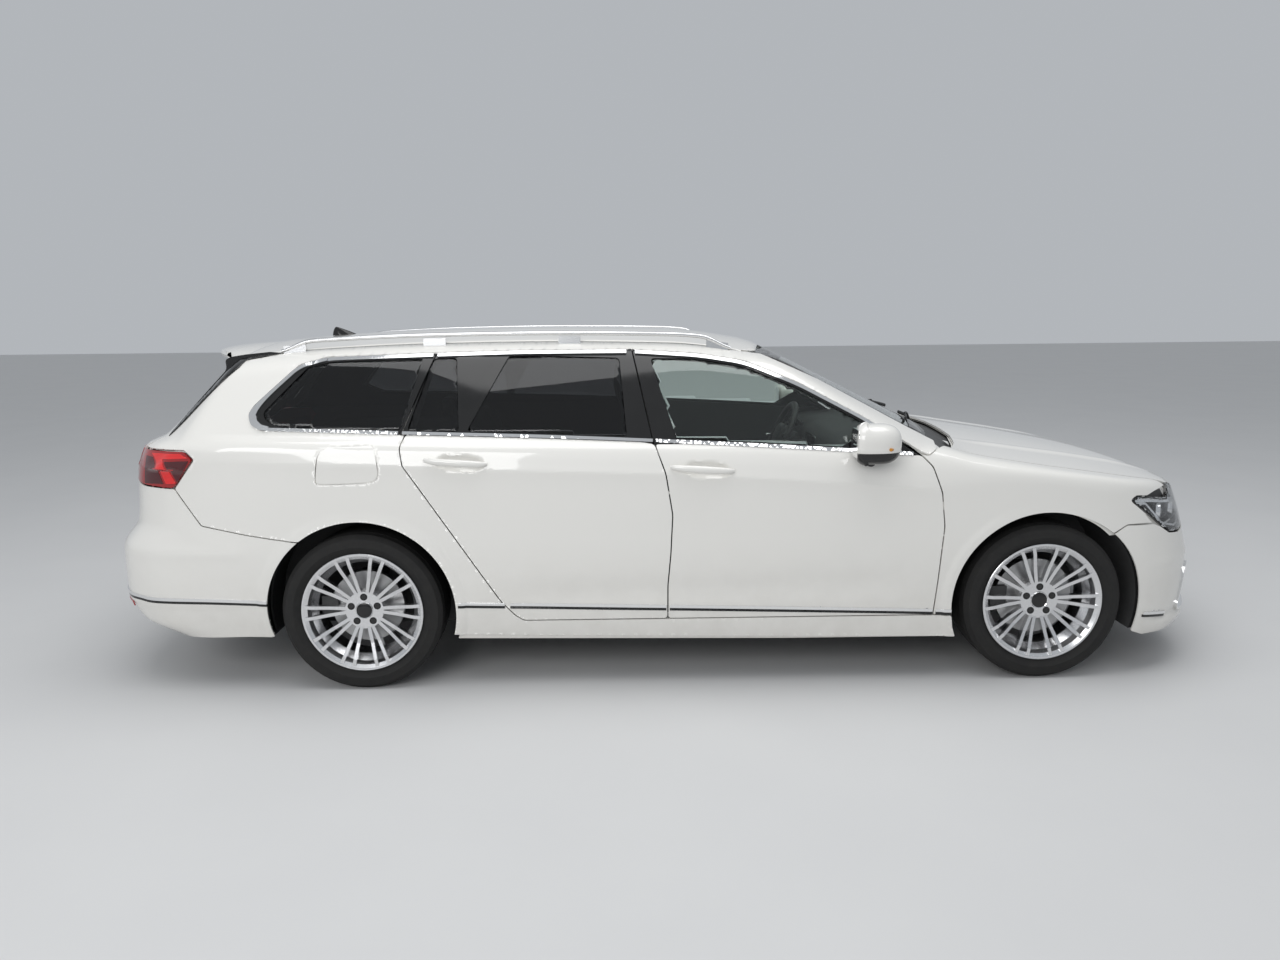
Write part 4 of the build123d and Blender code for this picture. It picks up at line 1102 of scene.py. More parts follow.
def gate_dent(points):
    """Number plate hollow, 22 mm deep with soft walls, and a ledge crease under the lamps."""
    y, z = np.abs(points[:, 1]), points[:, 2]
    hollow = 24 * rise((300 - y) / 22) * rise((z - 722) / 18) * rise((868 - z) / 14)
    ledge = 5 * np.exp(-((z - 905) / 12.0) ** 2) * rise((430 - y) / 60)
    return points + np.array([1.0, 0, 0]) * (hollow - ledge)[:, None]


gate_line = shrunk(softened(mirrored_line(gate_half), 10), HALF_GAP)
sheet_metal(
    "tailgate_skin", tail_chart, gate_line, paint, "tailgate",
    holes=[softened(mirrored_line(glass_half), 12)], gap=15.0, extra=gate_dent,
)
rear_pane = sheet_metal(
    "rear_window", tail_chart, shrunk(softened(mirrored_line(glass_half), 12), 2.0), dark_glass, "tailgate",
    gap=26.0, inset=2.0,
    wall_mm=4.0, edge=0,
)
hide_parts("tailgate_glass")
sheet_metal(
    "rear_window_border", tail_chart, shrunk(softened(mirrored_line(glass_half), 12), 2.0), trim_gloss, "tailgate",
    holes=[softened(shrunk(softened(mirrored_line(glass_half), 12), 26), 20)], gap=22.0, inset=1.2,
    wall_mm=0.6, edge=0,
)
across = np.linspace(-1, 1, 61)


def spoiler_grid():
    """Rows across the car; the section goes from the roof back to the tip and under it to the glass."""
    y = across * 592
    crown = y ** 2 / 7600
    tip = -2012 + 172 * np.abs(across) ** 2.4
    roof_z = plan_chart(columns(-1792, y))[:, 2]
    slope = plan_chart(columns(-1840, y))[:, 2]
    glass_x = tail_chart(columns(y, 1326 - crown * 0.2))[:, 0] + 6
    rows = [
        (-1792 + 0 * y, roof_z), (-1840 + 0 * y, np.maximum(slope, 1391 - crown * 0.7)),
        (tip * 0.4 - 1840 * 0.6, 1390 - crown * 0.42), (tip * 0.75 - 1840 * 0.25, 1386 - crown * 0.24),
        (tip + 18, 1381 - crown * 0.16), (tip + 5, 1377 - crown * 0.16), (tip, 1369 - crown * 0.16),
        (tip + 4, 1360 - crown * 0.2),
        (tip + 24, 1353 - crown * 0.3), (tip * 0.5 + glass_x * 0.5, 1338 - crown * 0.5),
        (glass_x, 1327 - crown * 0.3), (glass_x + 60, 1345 - crown * 0.3),
        (-1815 + 0 * y, roof_z - 25),
    ]
    return np.stack([np.stack([x, y, z], 1) for x, z in rows], 1)


grid_piece("roof_spoiler", spoiler_grid(), paint, "tailgate", wrap_v=True, caps=True)
blade_line = spaced(softened([(604, 1368), (632, 1325), (686, 1200), (728, 1062)], 30, closed=False), 14, False)
blade_foot = [(-1733, 1345), (-1750, 1316), (-1820, 1250), (-1892, 1182), (-1962, 1112), (-2036, 1046)]
t = np.linspace(0, 1, len(blade_line))[:, None]
for side, sign in SIDES.items():
    foot = tail_chart(blade_line)
    proud = 10 + 40 * (1 - rise((t - 0.08) / 0.24)) - 8 * t
    ring = np.stack(
        [
            foot + [6, 3, 0], foot + proud * [-1, 0.04, 0.1], foot + proud * [-0.9, 0, 0.1] - [0, 4, 0],
            foot + [6, -12, 0]
        ],
        1
    )
    grid_piece(
        "spoiler_blade_" + side, ring * [1, sign, 1], trim_gloss, "tailgate", wrap_v=True,
        caps=True
    )
    sheet_metal(
        "spoiler_blade_foot_" + side, side_chart, softened(blade_foot + side_view(foot)[::-2], 3),
        trim_gloss, "tailgate",
        gap=10.0, inset=-2.5, wall_mm=2.0, edge=0, right=sign < 0,
    )

# %% Rear lamps
side_lamp_space = mixed_line(
    (side_chart, [(-2120, 856), (-1978, 850), (-1889, 966), (-1925, 1001), (-2087, 1001)]),
    (tail_chart, [(746, 1003), (742, 990), (703, 872), (720, 868)]),
)
outer_lamp = softened(shrunk(to_wrap(side_lamp_space, -1400.0), 3.0), 10)
inner_lamp_space = mixed_line((tail_chart, [(736, 1000), (450, 1000), (418, 962), (452, 884), (700, 876)]))
inner_lamp = softened(shrunk(to_wrap(inner_lamp_space, -1400.0), 3.0), 10)
LAMP_GRAPHICS = {
    "outer": {
        "bright": [
            [(880, 988), (1020, 990), (1052, 972), (948, 968), (1000, 872), (960, 868), (918, 950), (900, 972)]
        ],
        "dark": [
            [(962, 958), (1056, 962), (1010, 882), (1004, 878)],
            [(846, 976), (890, 972), (908, 946), (948, 868), (846, 864)]
        ],
    },
    "inner": {
        "bright": [[(462, 992), (700, 992), (716, 966), (520, 964), (536, 892), (486, 892), (452, 958)]],
        "dark": [[(548, 952), (706, 952), (690, 892), (560, 892)]],
    },
}
for side in SIDES:
    mirrored = side == "right"
    for name, line, node, body in (
        ("outer", outer_lamp, "tail_lamps", "shell"), ("inner", inner_lamp, "tailgate_lamps", "tailgate"),
    ):
        lens = sheet_metal(
            f"tail_lamp_{name}_{side}", rear_wrap, line, tail_red, body, gap=12.0,
            inset=-3.5 if name == "outer" else -4.0,
            wall_mm=14.0, edge=2.0, right=mirrored,
        )
        if side == "left":
            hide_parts(node)
        for shape, drawings in LAMP_GRAPHICS[name].items():
            glow = tail_bright if shape == "bright" else tail_dark
            for k, drawing in enumerate(drawings):
                sheet_metal(
                    f"tail_lamp_{shape}_{k}_{name}_{side}", rear_wrap, softened(drawing, 5), glow, body,
                    gap=10.0, inset=-4.8,
                    wall_mm=3.0, edge=0.6, right=mirrored,
                )
print("tailgate and rear lamps")

# %% [markdown]
# ## Bumpers

# %% Rear bumper
rear_half = mixed_line(
    (tail_chart, [(0, 681), (630, 683), (655, 706), (704, 866)]),
    (side_chart, [(-2121, 853), (-1978, 850), (-1878, 700), (-1700, 662), (-1588, 642)]),
    (side_chart, arch_points(REAR_AXLE, 127.5, 196, count=24)),
    (side_chart, [(-1800, 219), (-2000, 214)]),
)
rear_half = [tuple(p) for p in to_wrap(rear_half, -1400.0)] + [(500, 216), (0, 216)]
rear_line = shrunk(softened(mirrored_line(rear_half), 8), HALF_GAP)


def tail_shape(points):
    """Ledge under the tailgate and a groove above the lower apron."""
    z = points[:, 2]
    away = points - np.array([-1400.0, 0, 0])
    away[:, 2] = 0
    away /= np.linalg.norm(away, axis=1)[:, None]
    ledge = 5 * np.exp(-((z - 585) / 26.0) ** 2) - 6 * rise((372 - z) / 30)
    fade = rise((-points[:, 0] - 1660) / 160)
    return points + away * (ledge * fade)[:, None]


bumper = sheet_metal(
    "rear_bumper_skin", rear_wrap, rear_line, paint, "shell", gap=16.0, extra=tail_shape, wall_mm=6.0
)
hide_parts("rear_bumper")
strip_height = drawn_line(
    [(-1312, 374), (-1048, 386), (-863, 388), (-821, 392), (0, 396), (821, 392), (863, 388), (1048, 386), (1312, 374)]
)
wrap_a = np.linspace(-1308, 1308, 140)
trim_strip(
    "rear_bumper_bright_strip", rear_wrap, columns(wrap_a, strip_height(wrap_a)), -1, 12, chrome, "shell",
    inset=-4.0, wall_mm=8, gap=16
)
trim_strip(
    "rear_bumper_dark_strip", rear_wrap, columns(wrap_a, strip_height(wrap_a)), -12, -1, trim_gloss,
    "shell", inset=-2.0, wall_mm=6, gap=16
)
sheet_metal(
    "rear_diffuser", rear_wrap,
    softened(mirrored_line([(0, 330), (560, 330), (640, 300), (690, 232), (0, 232)]), 10), trim_satin,
    "shell", inset=-1.0, gap=20, wall_mm=5
)
for side, sign in SIDES.items():
    trim_strip(
        "rear_reflector_" + side, rear_wrap, np.array([(520.0, 352), (760.0, 352)]), -11, 11, tail_red,
        "shell", inset=-3.0, right=sign < 0
    )
    pipe = np.array([(x, sign * 470, 268) for x in (-2240, -2300, -2350)], float)
    tube("exhaust_trim_" + side, pipe, 36, chrome, "shell", sides=24, flat=0.6)

# %% [markdown]
# ## Front end
# The front bumper wraps from arch to arch. Lamps and grille sit in its openings.

# %% Front bumper
def front_side(points):
    """Wrap chart positions of side view points at the nose."""
    return [tuple(p) for p in to_wrap(side_chart(np.array(points, float)), 1300.0)]


bumper_top = front_side([(1990, 642), (1860, 648), (1812, 620)])
bumper_arch = front_side(arch_points(FRONT_AXLE, 46.5, -19.5, front_radius(np.linspace(46.5, -19.5, 26)), 26))
bumper_low = [(905, 168), (800, 166), (640, 172), (400, 178), (0, 180)]
front_half = (
    [(0, 598), (380, 600), (398, 628), (440, 618), (560, 592), (693, 580), (783, 592), (838, 626), (872, 640)]
    + bumper_top + bumper_arch + bumper_low
)
front_line = shrunk(softened(mirrored_line(front_half), 8), HALF_GAP)
lower_mouth = softened(mirrored_line([(0, 420), (330, 420), (372, 388), (398, 262), (380, 232), (0, 226)]), 14)
side_mouth = [(455, 420), (600, 424), (640, 400), (708, 262), (690, 240), (470, 236), (440, 262)]


def nose_shape(points):
    """Crease at mid height, a step above the lip and a flat field for the plate."""
    z = points[:, 2]
    away = points - np.array([1300.0, 0, 0])
    away[:, 2] = 0
    away /= np.linalg.norm(away, axis=1)[:, None]
    fade = rise((points[:, 0] - 1960) / 140)
    crease = 8 * np.exp(-np.abs(z - 474) / np.where(z > 474, 34.0, 12.0)) * rise((np.abs(points[:, 1]) - 430) / 80)
    lip = 10 * rise((236 - z) / 16) - 9 * np.exp(-((z - 243) / 7.0) ** 2)
    return points + away * ((crease + lip) * fade)[:, None]


bumper = sheet_metal(
    "front_bumper_skin", front_wrap, front_line, paint, "shell", gap=15.0, extra=nose_shape, wall_mm=6.0,
    holes=[lower_mouth, softened(side_mouth, 12), softened([(-a, z) for a, z in side_mouth[::-1]], 12)],
)
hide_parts("front_bumper")


def mouth_box(name, line, depth, finish, body="shell"):
    """Back wall and side walls of an opening: the outline at the skin joined to the same outline deeper in."""
    line = spaced(line, 14)
    rows = [front_wrap(line, inset) for inset in (3.0, depth)]
    grid_piece(name + "_walls", np.stack(rows, 0), finish, body, wrap_v=True)
    sheet_metal(
        name + "_back", front_wrap, line, finish, body, inset=depth, gap=16, wall_mm=2, edge=0,
    )


mouth_box("lower_intake", shrunk(lower_mouth, -1), 46, mesh_black)
for z in (262, 296, 330, 364, 396):
    trim_strip(
        f"lower_intake_bar_{z}", front_wrap, np.array([(-352.0, z), (352.0, z)]), -3.5, 3.5, trim_satin,
        "shell", inset=26.0, wall_mm=16
    )
for side, sign in SIDES.items():
    line = softened([(sign * a, z) for a, z in side_mouth[::sign]], 12)
    mouth_box("side_intake_" + side, shrunk(line, -1), 50, mesh_black)
    for z in (286, 322, 358):
        ends = [(462.0, z), (655.0 - 0.35 * (z - 262), z)]
        trim_strip(
            f"side_intake_bar_{z}_{side}", front_wrap, np.array(ends), -3.5, 3.5, trim_gloss, "shell",
            inset=24.0, wall_mm=14, right=sign < 0
        )
    blade = softened(
        [(446, 300), (462, 238), (560, 232), (692, 238), (714, 262), (646, 404), (600, 428)], 22,
        closed=False
    )
    trim_strip(
        "side_intake_bright_" + side, front_wrap, blade, -4.5, 4.5, chrome, "shell", inset=-8.0, wall_mm=16,
        right=sign < 0
    )
    fog = front_wrap(np.array([(560.0, 372.0)]), 18.0)[0]
    out = np.array([math.cos(0.56), math.sin(0.56), 0.0])
    turn = np.linspace(0, 2 * math.pi, 40, endpoint=False)
    side_way = np.array([-math.sin(0.56), math.cos(0.56), 0.0])
    ring = lambda r, d: fog + out * d + r * (
        np.cos(turn)[:, None] * side_way + np.sin(turn)[:, None] * np.array([0, 0, 1.0])
    )
    for name, rows, finish in (
        ("fog_lamp_ring_", [(40, -10), (41, 2), (38, 6), (34, 3), (30, -8), (20, -14)], trim_gloss),
        ("fog_lamp_lens_", [(33, 1), (30, 5), (22, 8), (10, 10), (0.5, 10.5)], lens_glass),
        ("fog_lamp_bowl_", [(32, 0), (26, -10), (14, -16), (0.5, -17)], chrome),
    ):
        grid = np.stack([ring(r, d) for r, d in rows])
        if sign < 0:
            grid = grid * np.array([1.0, -1.0, 1.0])
        grid_piece(name + side, grid, finish, "shell", wrap_v=True)

# %% Grille and plate
grille_line = softened(mirrored_line([(0, 742), (330, 735), (392, 722), (384, 640), (372, 610), (0, 608)]), 10)
grille = sheet_metal(
    "grille_back", front_wrap, grille_line, mesh_black, "shell", inset=44.0, gap=18, wall_mm=3, edge=0,
)
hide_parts("front_grille")
rows = [
    front_wrap(shrunk(spaced(grille_line, 14), by), inset) for by,
    inset in ((-5, 8.0), (-5, -2.0), (3, -4.0), (5, 6.0), (6, 44.0))
]
grid_piece("grille_surround", np.stack(rows, 0), trim_gloss, "shell", wrap_v=True)
for z, finish in ((632, chrome), (662, trim_gloss), (692, chrome), (720, trim_gloss)):
    reach_a = 372.0 if z < 700 else 356.0
    trim_strip(
        f"grille_bar_{z}", front_wrap, np.array([(-reach_a, z), (reach_a, z)]), -5.0, 5.0, finish, "shell",
        inset=10.0, wall_mm=26, gap=14
    )
plate_finish = moulded("blank_plate", 0.72, 0.4, 900.0, 0.00005)


def plate(name, chart_rows, body):
    """Blank plate: a rounded sheet whose face is flat."""
    piece = mesh_object(name, *chart_rows, plate_finish)
    thicken(piece, 3.0, 0.8)
    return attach(piece, body)


plate_flat, plate_faces = net(softened([(-260, -56), (260, -56), (260, 56), (-260, 56)], 10), gap=26)
front_plate = np.stack([0 * plate_flat[:, 0] + 2379, plate_flat[:, 0], 505 + plate_flat[:, 1]], 1)
flip = plate_faces[:, ::-1] if np.cross(
    *(front_plate[plate_faces[0]][1:] - front_plate[plate_faces[0]][0])
)[0] < 0 else plate_faces
sheet_metal(
    "front_plate_carrier", front_wrap,
    softened(mirrored_line([(0, 568), (272, 568), (272, 444), (0, 444)]), 12), trim_satin, "shell",
    inset=-1.0, gap=18, wall_mm=5
)
plate("front_plate", (front_plate, flip), "shell")

# %% Head lamps
lamp_top = to_wrap(plan_chart(np.array([(2104.0, 694), (2150, 645), (2180, 600), (2232, 480), (2246, 425)])), 1300.0)
lamp_half = [(989, 746), (962, 762), (866, 752), (760, 736)] + [tuple(p + np.array([0, -3])) for p in lamp_top] + [
    (402, 640), (440, 622), (560, 596), (693, 584), (783, 596), (838, 630), (916, 690), (979, 736)]
lamp_line = shrunk(softened(lamp_half, 8), HALF_GAP)
for side in SIDES:
    mirrored = side == "right"
    lens = sheet_metal(
        "headlamp_lens_" + side, front_wrap, lamp_line, lens_glass, "shell", gap=12, inset=0.0, wall_mm=3.0,
        edge=0, right=mirrored
    )
    if side == "left":
        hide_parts("headlamps")
    rows = [front_wrap(shrunk(spaced(lamp_line, 12), by), inset) for by, inset in ((0.5, 3.0), (3, 30.0), (10, 52.0))]
    grid = np.stack(rows, 0)
    grid = grid if not mirrored else grid * np.array([1.0, -1.0, 1.0])
    grid_piece("headlamp_bowl_" + side, grid, trim_gloss, "shell", wrap_v=True)
    sheet_metal(
        "headlamp_back_" + side, front_wrap, shrunk(lamp_line, 9), trim_gloss, "shell", gap=16, inset=52.0,
        wall_mm=3.0, edge=0, right=mirrored
    )
    upper = np.array([(958.0, 746), (866, 738), (760, 722), (650, 706), (520, 714), (430, 722)])
    trim_strip(
        "headlamp_brow_" + side, front_wrap, upper, 11, -9, chrome, "shell", inset=10.0, wall_mm=10,
        right=mirrored
    )
    hook = softened([(948, 727), (902, 726), (812, 634), (700, 606), (560, 618)], 12, closed=False)
    trim_strip(
        "headlamp_light_guide_" + side, front_wrap, hook, -4.5, 4.5, chrome, "shell", inset=12.0,
        wall_mm=10, right=mirrored
    )
    low_guide = softened([(962, 724), (838, 650), (786, 612)], 10, closed=False)
    trim_strip(
        "headlamp_low_guide_" + side, front_wrap, low_guide, -4, 4, chrome, "shell", inset=10.0, wall_mm=8,
        right=mirrored
    )
    for k, (a, z, r) in enumerate(((790, 676, 31), (640, 664, 34), (520, 664, 30))):
        turn_a = a / 1000
        centre = front_wrap(np.array([(float(a), float(z))]), 30.0)[0]
        out = np.array([math.cos(turn_a), math.sin(turn_a), 0.0]) * 0.55 + np.array([0.45, 0, 0])
        out /= np.linalg.norm(out)
        side_way = np.cross(np.array([0, 0, 1.0]), out)
        turn = np.linspace(0, 2 * math.pi, 36, endpoint=False)
        circle = np.cos(turn)[:, None] * side_way + np.sin(turn)[:, None] * np.array([0, 0, 1.0])
        for name, profile, finish in (
            ("bezel", [(r + 7, -12), (r + 6, 4), (r + 2, 6), (r - 1, 0), (r - 3, -10)], chrome),
            ("projector", [(r - 2, -4), (r * 0.86, 4), (r * 0.6, 10), (r * 0.3, 13.5), (0.5, 14.5)], lens_glass),
            ("reflector", [(r - 2, -6), (r * 0.7, -16), (r * 0.35, -21), (0.5, -22)], chrome),
        ):
            grid = np.stack([centre + out * d + circle * q for q, d in profile])
            grid = grid * np.array([1.0, -1.0 if mirrored else 1.0, 1.0])
            grid_piece(f"headlamp_{name}_{k}_{side}", grid, finish, "shell", wrap_v=True)
print("front end")

# %% [markdown]
# ## Mirrors, handles, rails and strips

# %% Mirrors
def egg(middle, half, power, count=(28, 40)):
    """Rounded block: each of the three half sizes is scaled by signed powers of sines and cosines."""
    lat = np.linspace(-math.pi / 2, math.pi / 2, count[0])[:, None]
    lon = np.linspace(0, 2 * math.pi, count[1], endpoint=False)[None, :]
    soft = lambda v: np.sign(v) * np.abs(v) ** power
    x = soft(np.cos(lat)) * soft(np.cos(lon))
    y = soft(np.cos(lat)) * soft(np.sin(lon))
    z = soft(np.sin(lat)) + 0 * lon
    return np.array(middle, float) + np.stack([x * half[0], y * half[1], z * half[2]], -1)


for side, sign in SIDES.items():
    body = "door_front_" + side
    for name, finish, low, high, grow in (
        ("mirror_cap_", paint, -0.35, 2.0, 1.0), ("mirror_base_", trim_gloss, -2.0, -0.28, 0.985)
    ):
        grid = egg((796, 0, 1006), (98 * grow, 82 * grow, 80 * grow), 0.74)
        u = (grid[..., 2] - 1006) / 78
        grid[..., 0] += 14 * (1 - (grid[..., 1] / 82) ** 2) - 10
        grid[..., 2] += 10 * u * (grid[..., 0] < 760)
        grid[..., 0] = np.where(grid[..., 0] < 722, 722 + (grid[..., 0] - 722) * 0.2, grid[..., 0])
        grid[..., 0] -= 12 * grid[..., 1] / 82
        cut = 1006 + 78 * (low if name == "mirror_cap_" else high)
        grid[..., 2] = np.maximum(grid[..., 2], cut) if name == "mirror_cap_" else np.minimum(grid[..., 2], cut)
        grid[..., 1] = sign * (960 + grid[..., 1])
        piece = grid_piece(name + side, grid, finish, body, wrap_v=True)
        if name == "mirror_cap_":
            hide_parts("mirror_" + side)
    glass_grid = egg((0, 0, 0), (3, 68, 58), 0.6, (20, 36))
    glass_grid += np.array([716.0, 962 * sign, 1012])
    grid_piece("mirror_glass_" + side, glass_grid, chrome, body, wrap_v=True)
    t = np.linspace(0, 1, 18)
    arm = np.stack([782 + 30 * t, sign * (942 - 78 * t), 948 - 6 * t + 14 * np.sin(math.pi * t)], 1)
    tube("mirror_arm_" + side, arm, 17 + 8 * np.abs(2 * t - 1), trim_gloss, body, flat=1.7, sides=20)
    signal = np.stack([868 + 14 * np.sin(math.pi * t) - 34 * t, sign * (932 + 108 * t), 984 + 10 * t], 1)
    tube("mirror_signal_" + side, signal, 6.0, indicator, body, flat=1.0)
    sail = softened([(684, 986), (800, 1050), (934, 975)], 10)
    sheet_metal(
        "mirror_sail_" + side, side_chart, sail, trim_gloss, body, inset=1.0, gap=14, wall_mm=6,
        right=sign < 0
    )

# %% Handles
for side, sign in SIDES.items():
    for end, (low, high) in HANDLES.items():
        body = f"door_{end}_{side}"
        t = np.linspace(0, 1, 40)
        x = low + (high - low) * t
        z = shoulder_crease(x) + 26 + 4 * (1 - t)
        base = side_chart(np.stack([x, z], 1))
        stand = 6 + 21 * np.clip(np.sin(math.pi * np.clip((t - 0.02) / 0.96, 0, 1)), 0, 1) ** 0.45
        path = base + np.array([0, 1.0, 0]) * stand[:, None]
        path[:, 1] *= sign
        size = 11.5 * np.clip(np.sin(math.pi * np.clip(t, 0.004, 0.996)), 0.05, 1) ** 0.22
        tube(f"handle_{end}_{side}", path, size, paint, body, sides=20, flat=1.25)

# %% Roof rails and antenna
for side, sign in SIDES.items():
    t = np.linspace(0, 1, 70)
    x = 264 - 1872 * t
    ends = np.clip(np.minimum(t, 1 - t) / 0.07, 0, 1)
    lift = 6 + 34 * rise(ends) ** 0.8
    ground = plan_chart(np.stack([x, 0 * x + 601], 1))
    path = ground + np.array([0, 0, 1.0]) * lift[:, None] + np.array([0, 4.0, 0])
    path[:, 1] *= sign
    path[:, 2] = np.minimum(path[:, 2], 1451)
    rail = tube(
        "roof_rail_" + side, path, 13.0 - 3.0 * (1 - rise(ends)), rail_metal, "shell", sides=20,
        flat=0.72
    )
    if side == "left":
        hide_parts("roof_rails")
    for k, spot in enumerate((0.03, 0.36, 0.66, 0.97)):
        foot_x = 264 - 1872 * spot + 46 * np.linspace(-1, 1, 9)
        foot_ground = plan_chart(np.stack([foot_x, 0 * foot_x + 601], 1))
        section = np.stack([
            np.stack([foot_x, sign * (0 * foot_x + 601 + dy), foot_ground[:, 2] + dz], 1)
            for dy, dz in ((-9, -4), (-8, 26), (8, 26), (10, -6))
        ], 1)
        grid_piece(f"roof_rail_foot_{k}_{side}", section, rail_metal, "shell", wrap_v=True, caps=True)
    drip = np.stack([np.linspace(290, -1770, 80), np.full(80, 590.0)], 1)
    trim_strip(
        "roof_ditch_strip_" + side, plan_chart, drip, -6, 8, seal_rubber, "shell", inset=2.0, wall_mm=4,
        gap=26, right=sign < 0
    )
u = np.linspace(0, 1, 24)[:, None]
v = np.linspace(0, 2 * math.pi, 28, endpoint=False)[None, :]
length, width = 62 * (1 - u) ** 0.8 + 2, 17 * (1 - u) ** 0.9 + 1
fin = np.stack([-1506 - 44 * u + length * np.cos(v), width * np.sin(v), 1421 + 40 * u + 0 * v], -1)
grid_piece("roof_antenna", fin, trim_gloss, "shell", wrap_v=True, caps=True)

# %% Lower bright strips
low_line = drawn_line([(-1600, 372), (-824, 353), (-295, 338), (114, 327), (937, 302), (1154, 294)])
runs = {
    "sill_rear": (-872, -682, "shell"), "rear_door": (-660, -24, "door_rear_"),
    "front_door": (-10, 1070, "door_front_"), "wing": (1084, 1146, "shell"),
}
for side in SIDES:
    for name, (x0, x1, body) in runs.items():
        x = np.linspace(x0, x1, 30)
        host = body if body == "shell" else body + side
        line = np.stack([x, low_line(x)], 1)
        trim_strip(
            f"{name}_bright_low_{side}", side_chart, line, 1, 13, chrome, host, inset=-5.0, wall_mm=9,
            gap=10, right=side == "right"
        )
        trim_strip(
            f"{name}_dark_low_{side}", side_chart, line, -11, 1, trim_gloss, host, inset=-2.0, wall_mm=6,
            gap=10, right=side == "right"
        )
a = np.linspace(806, 925, 24)
for side in SIDES:
    line = np.stack([a, 246 + 0.13 * (a - 806)], 1)
    trim_strip(
        "front_bumper_bright_low_" + side, front_wrap, line, 1, 12, chrome, "shell", inset=-6.0, wall_mm=8,
        right=side == "right"
    )
    trim_strip(
        "front_bumper_dark_low_" + side, front_wrap, line, -10, 1, trim_gloss, "shell", inset=-4.0,
        wall_mm=6, right=side == "right"
    )
print("mirrors, handles, rails and strips")

# %% [markdown]
# ## Rear plate
# The plate is blank and sits in the hollow of the tailgate.

# %% Rear plate
rear_plate = np.stack([0 * plate_flat[:, 0] - 2283, plate_flat[:, 0], 795 + plate_flat[:, 1]], 1)
flip = plate_faces if np.cross(
    *(rear_plate[plate_faces[0]][1:] - rear_plate[plate_faces[0]][0])
)[0] < 0 else plate_faces[:, ::-1]
plate("rear_plate", (rear_plate, flip), "tailgate")

# %% [markdown]
# ## Wheels
# Rims, discs and tyres are used as they are in the solid model, with their own finishes.
# Tread blocks, bolt pockets, caps and a polished lip are added here.

# %% Wheels
def finish_node(node, finish):
    """Gives a node of the solid model its finish."""
    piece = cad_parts[node]
    piece.data.materials.clear()
    piece.data.materials.append(finish)


def turned_ring(name, place, profile, finish, body, outward, sides=72):
    """Surface of revolution about the wheel's axle: rows are (radius, distance outwards)."""
    turn = np.linspace(0, 2 * math.pi, sides, endpoint=False)
    grid = np.stack([
        np.stack(
            [place[0] + r * np.cos(turn), np.full(sides, place[1] + outward * d), place[2] + r * np.sin(turn)],
            1
        ) for r,
        d in profile
    ])
    return grid_piece(name, grid, finish, body, wrap_v=True)


def tread(name, place, body, outward):
    """Tread blocks: 64 round the tyre in five rows; the outer rows bend over the shoulder."""
    blocks, across_rows = 64, [(-104, -66), (-58, -26), (-18, 18), (26, 58), (66, 104)]
    corners, faces = [], []
    for row, (y0, y1) in enumerate(across_rows):
        shift = 0.5 * (row % 2)
        turn = 2 * math.pi * (np.arange(blocks) + shift) / blocks
        span = 2 * math.pi / blocks * 0.39
        drop = [11.0 if abs(y) > 90 else 1.0 if abs(y) > 60 else 0.0 for y in (y0, y1)]
        for t0, skew in ((-span, -0.2), (span, -0.2)):
            for k, y in enumerate((y0, y1)):
                for r in (318.0, 327.6):
                    radius = r - drop[k]
                    angle = turn + t0 + skew * span * (1 if k else -1)
                    corners.append(
                        np.stack([radius * np.cos(angle), np.full(blocks, float(y)), radius * np.sin(angle)], 1)
                    )
    corners = np.stack(corners).reshape(len(across_rows), 8, blocks, 3).transpose(0, 2, 1, 3)
    quads = np.array([(0, 1, 3, 2), (4, 6, 7, 5), (0, 4, 5, 1), (2, 3, 7, 6), (1, 5, 7, 3), (0, 2, 6, 4)])
    first = np.arange(len(across_rows) * blocks)[:, None, None] * 8
    faces = (first + quads[None]).reshape(-1, 4)
    points = corners.reshape(-1, 3) * np.array([1, outward, 1]) + np.array([place[0], place[1], place[2]])
    piece = mesh_object(name, points, faces, tyre_rubber, smooth=False)
    tidy_normals(piece)
    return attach(piece, body)


for corner in ("front_left", "front_right", "rear_left", "rear_right"):
    end, side = corner.split("_")
    sign = SIDES[side]
    place = (FRONT_AXLE if end == "front" else REAR_AXLE, sign * WHEEL_Y, AXLE_Z)
    body = "wheel_" + corner
    finish_node("rim_" + corner, wheel_metal)
    finish_node("tyre_" + corner, tyre_rubber)
    finish_node("disc_" + corner, disc_metal)
    tread("tread_" + corner, place, body, sign)
    turned_ring(
        "rim_lip_" + corner, place,
        [(236, 100), (240, 106.5), (245.5, 108.0), (247.5, 106.5), (247.5, 101)], wheel_metal, body,
        sign, 96
    )
    turned_ring(
        "wheel_cap_" + corner, place, [(33, 70), (33, 74), (31, 75.5), (14, 77.0), (0.5, 77.4)], trim_gloss,
        body, sign, 48
    )
    turned_ring(
        "wheel_cap_ring_" + corner, place, [(36.5, 70), (36.0, 75), (34.2, 77.0), (32.0, 75.4)], chrome,
        body, sign, 48
    )
    for k in range(5):
        angle = math.radians(90 + 72 * k)
        spot = (place[0] + 56 * math.cos(angle), place[1], place[2] + 56 * math.sin(angle))
        turned_ring(
            f"bolt_pocket_{k}_{corner}", spot,
            [(15.0, 70.8), (14.8, 72.0), (13.2, 72.0), (12.4, 70.9), (0.5, 70.9)], trim_gloss, body,
            sign, 28
        )
        turned_ring(
            f"bolt_{k}_{corner}", spot, [(9.6, 70.8), (9.0, 72.6), (6.0, 72.9), (5.0, 71.6), (0.5, 71.6)],
            trim_satin, body, sign, 6
        )
print("wheels")

# %% [markdown]
# ## Finishes for what stays from the solid model
# Chassis, exhaust, engine and floor are seen only from below, so they keep their solid shape.

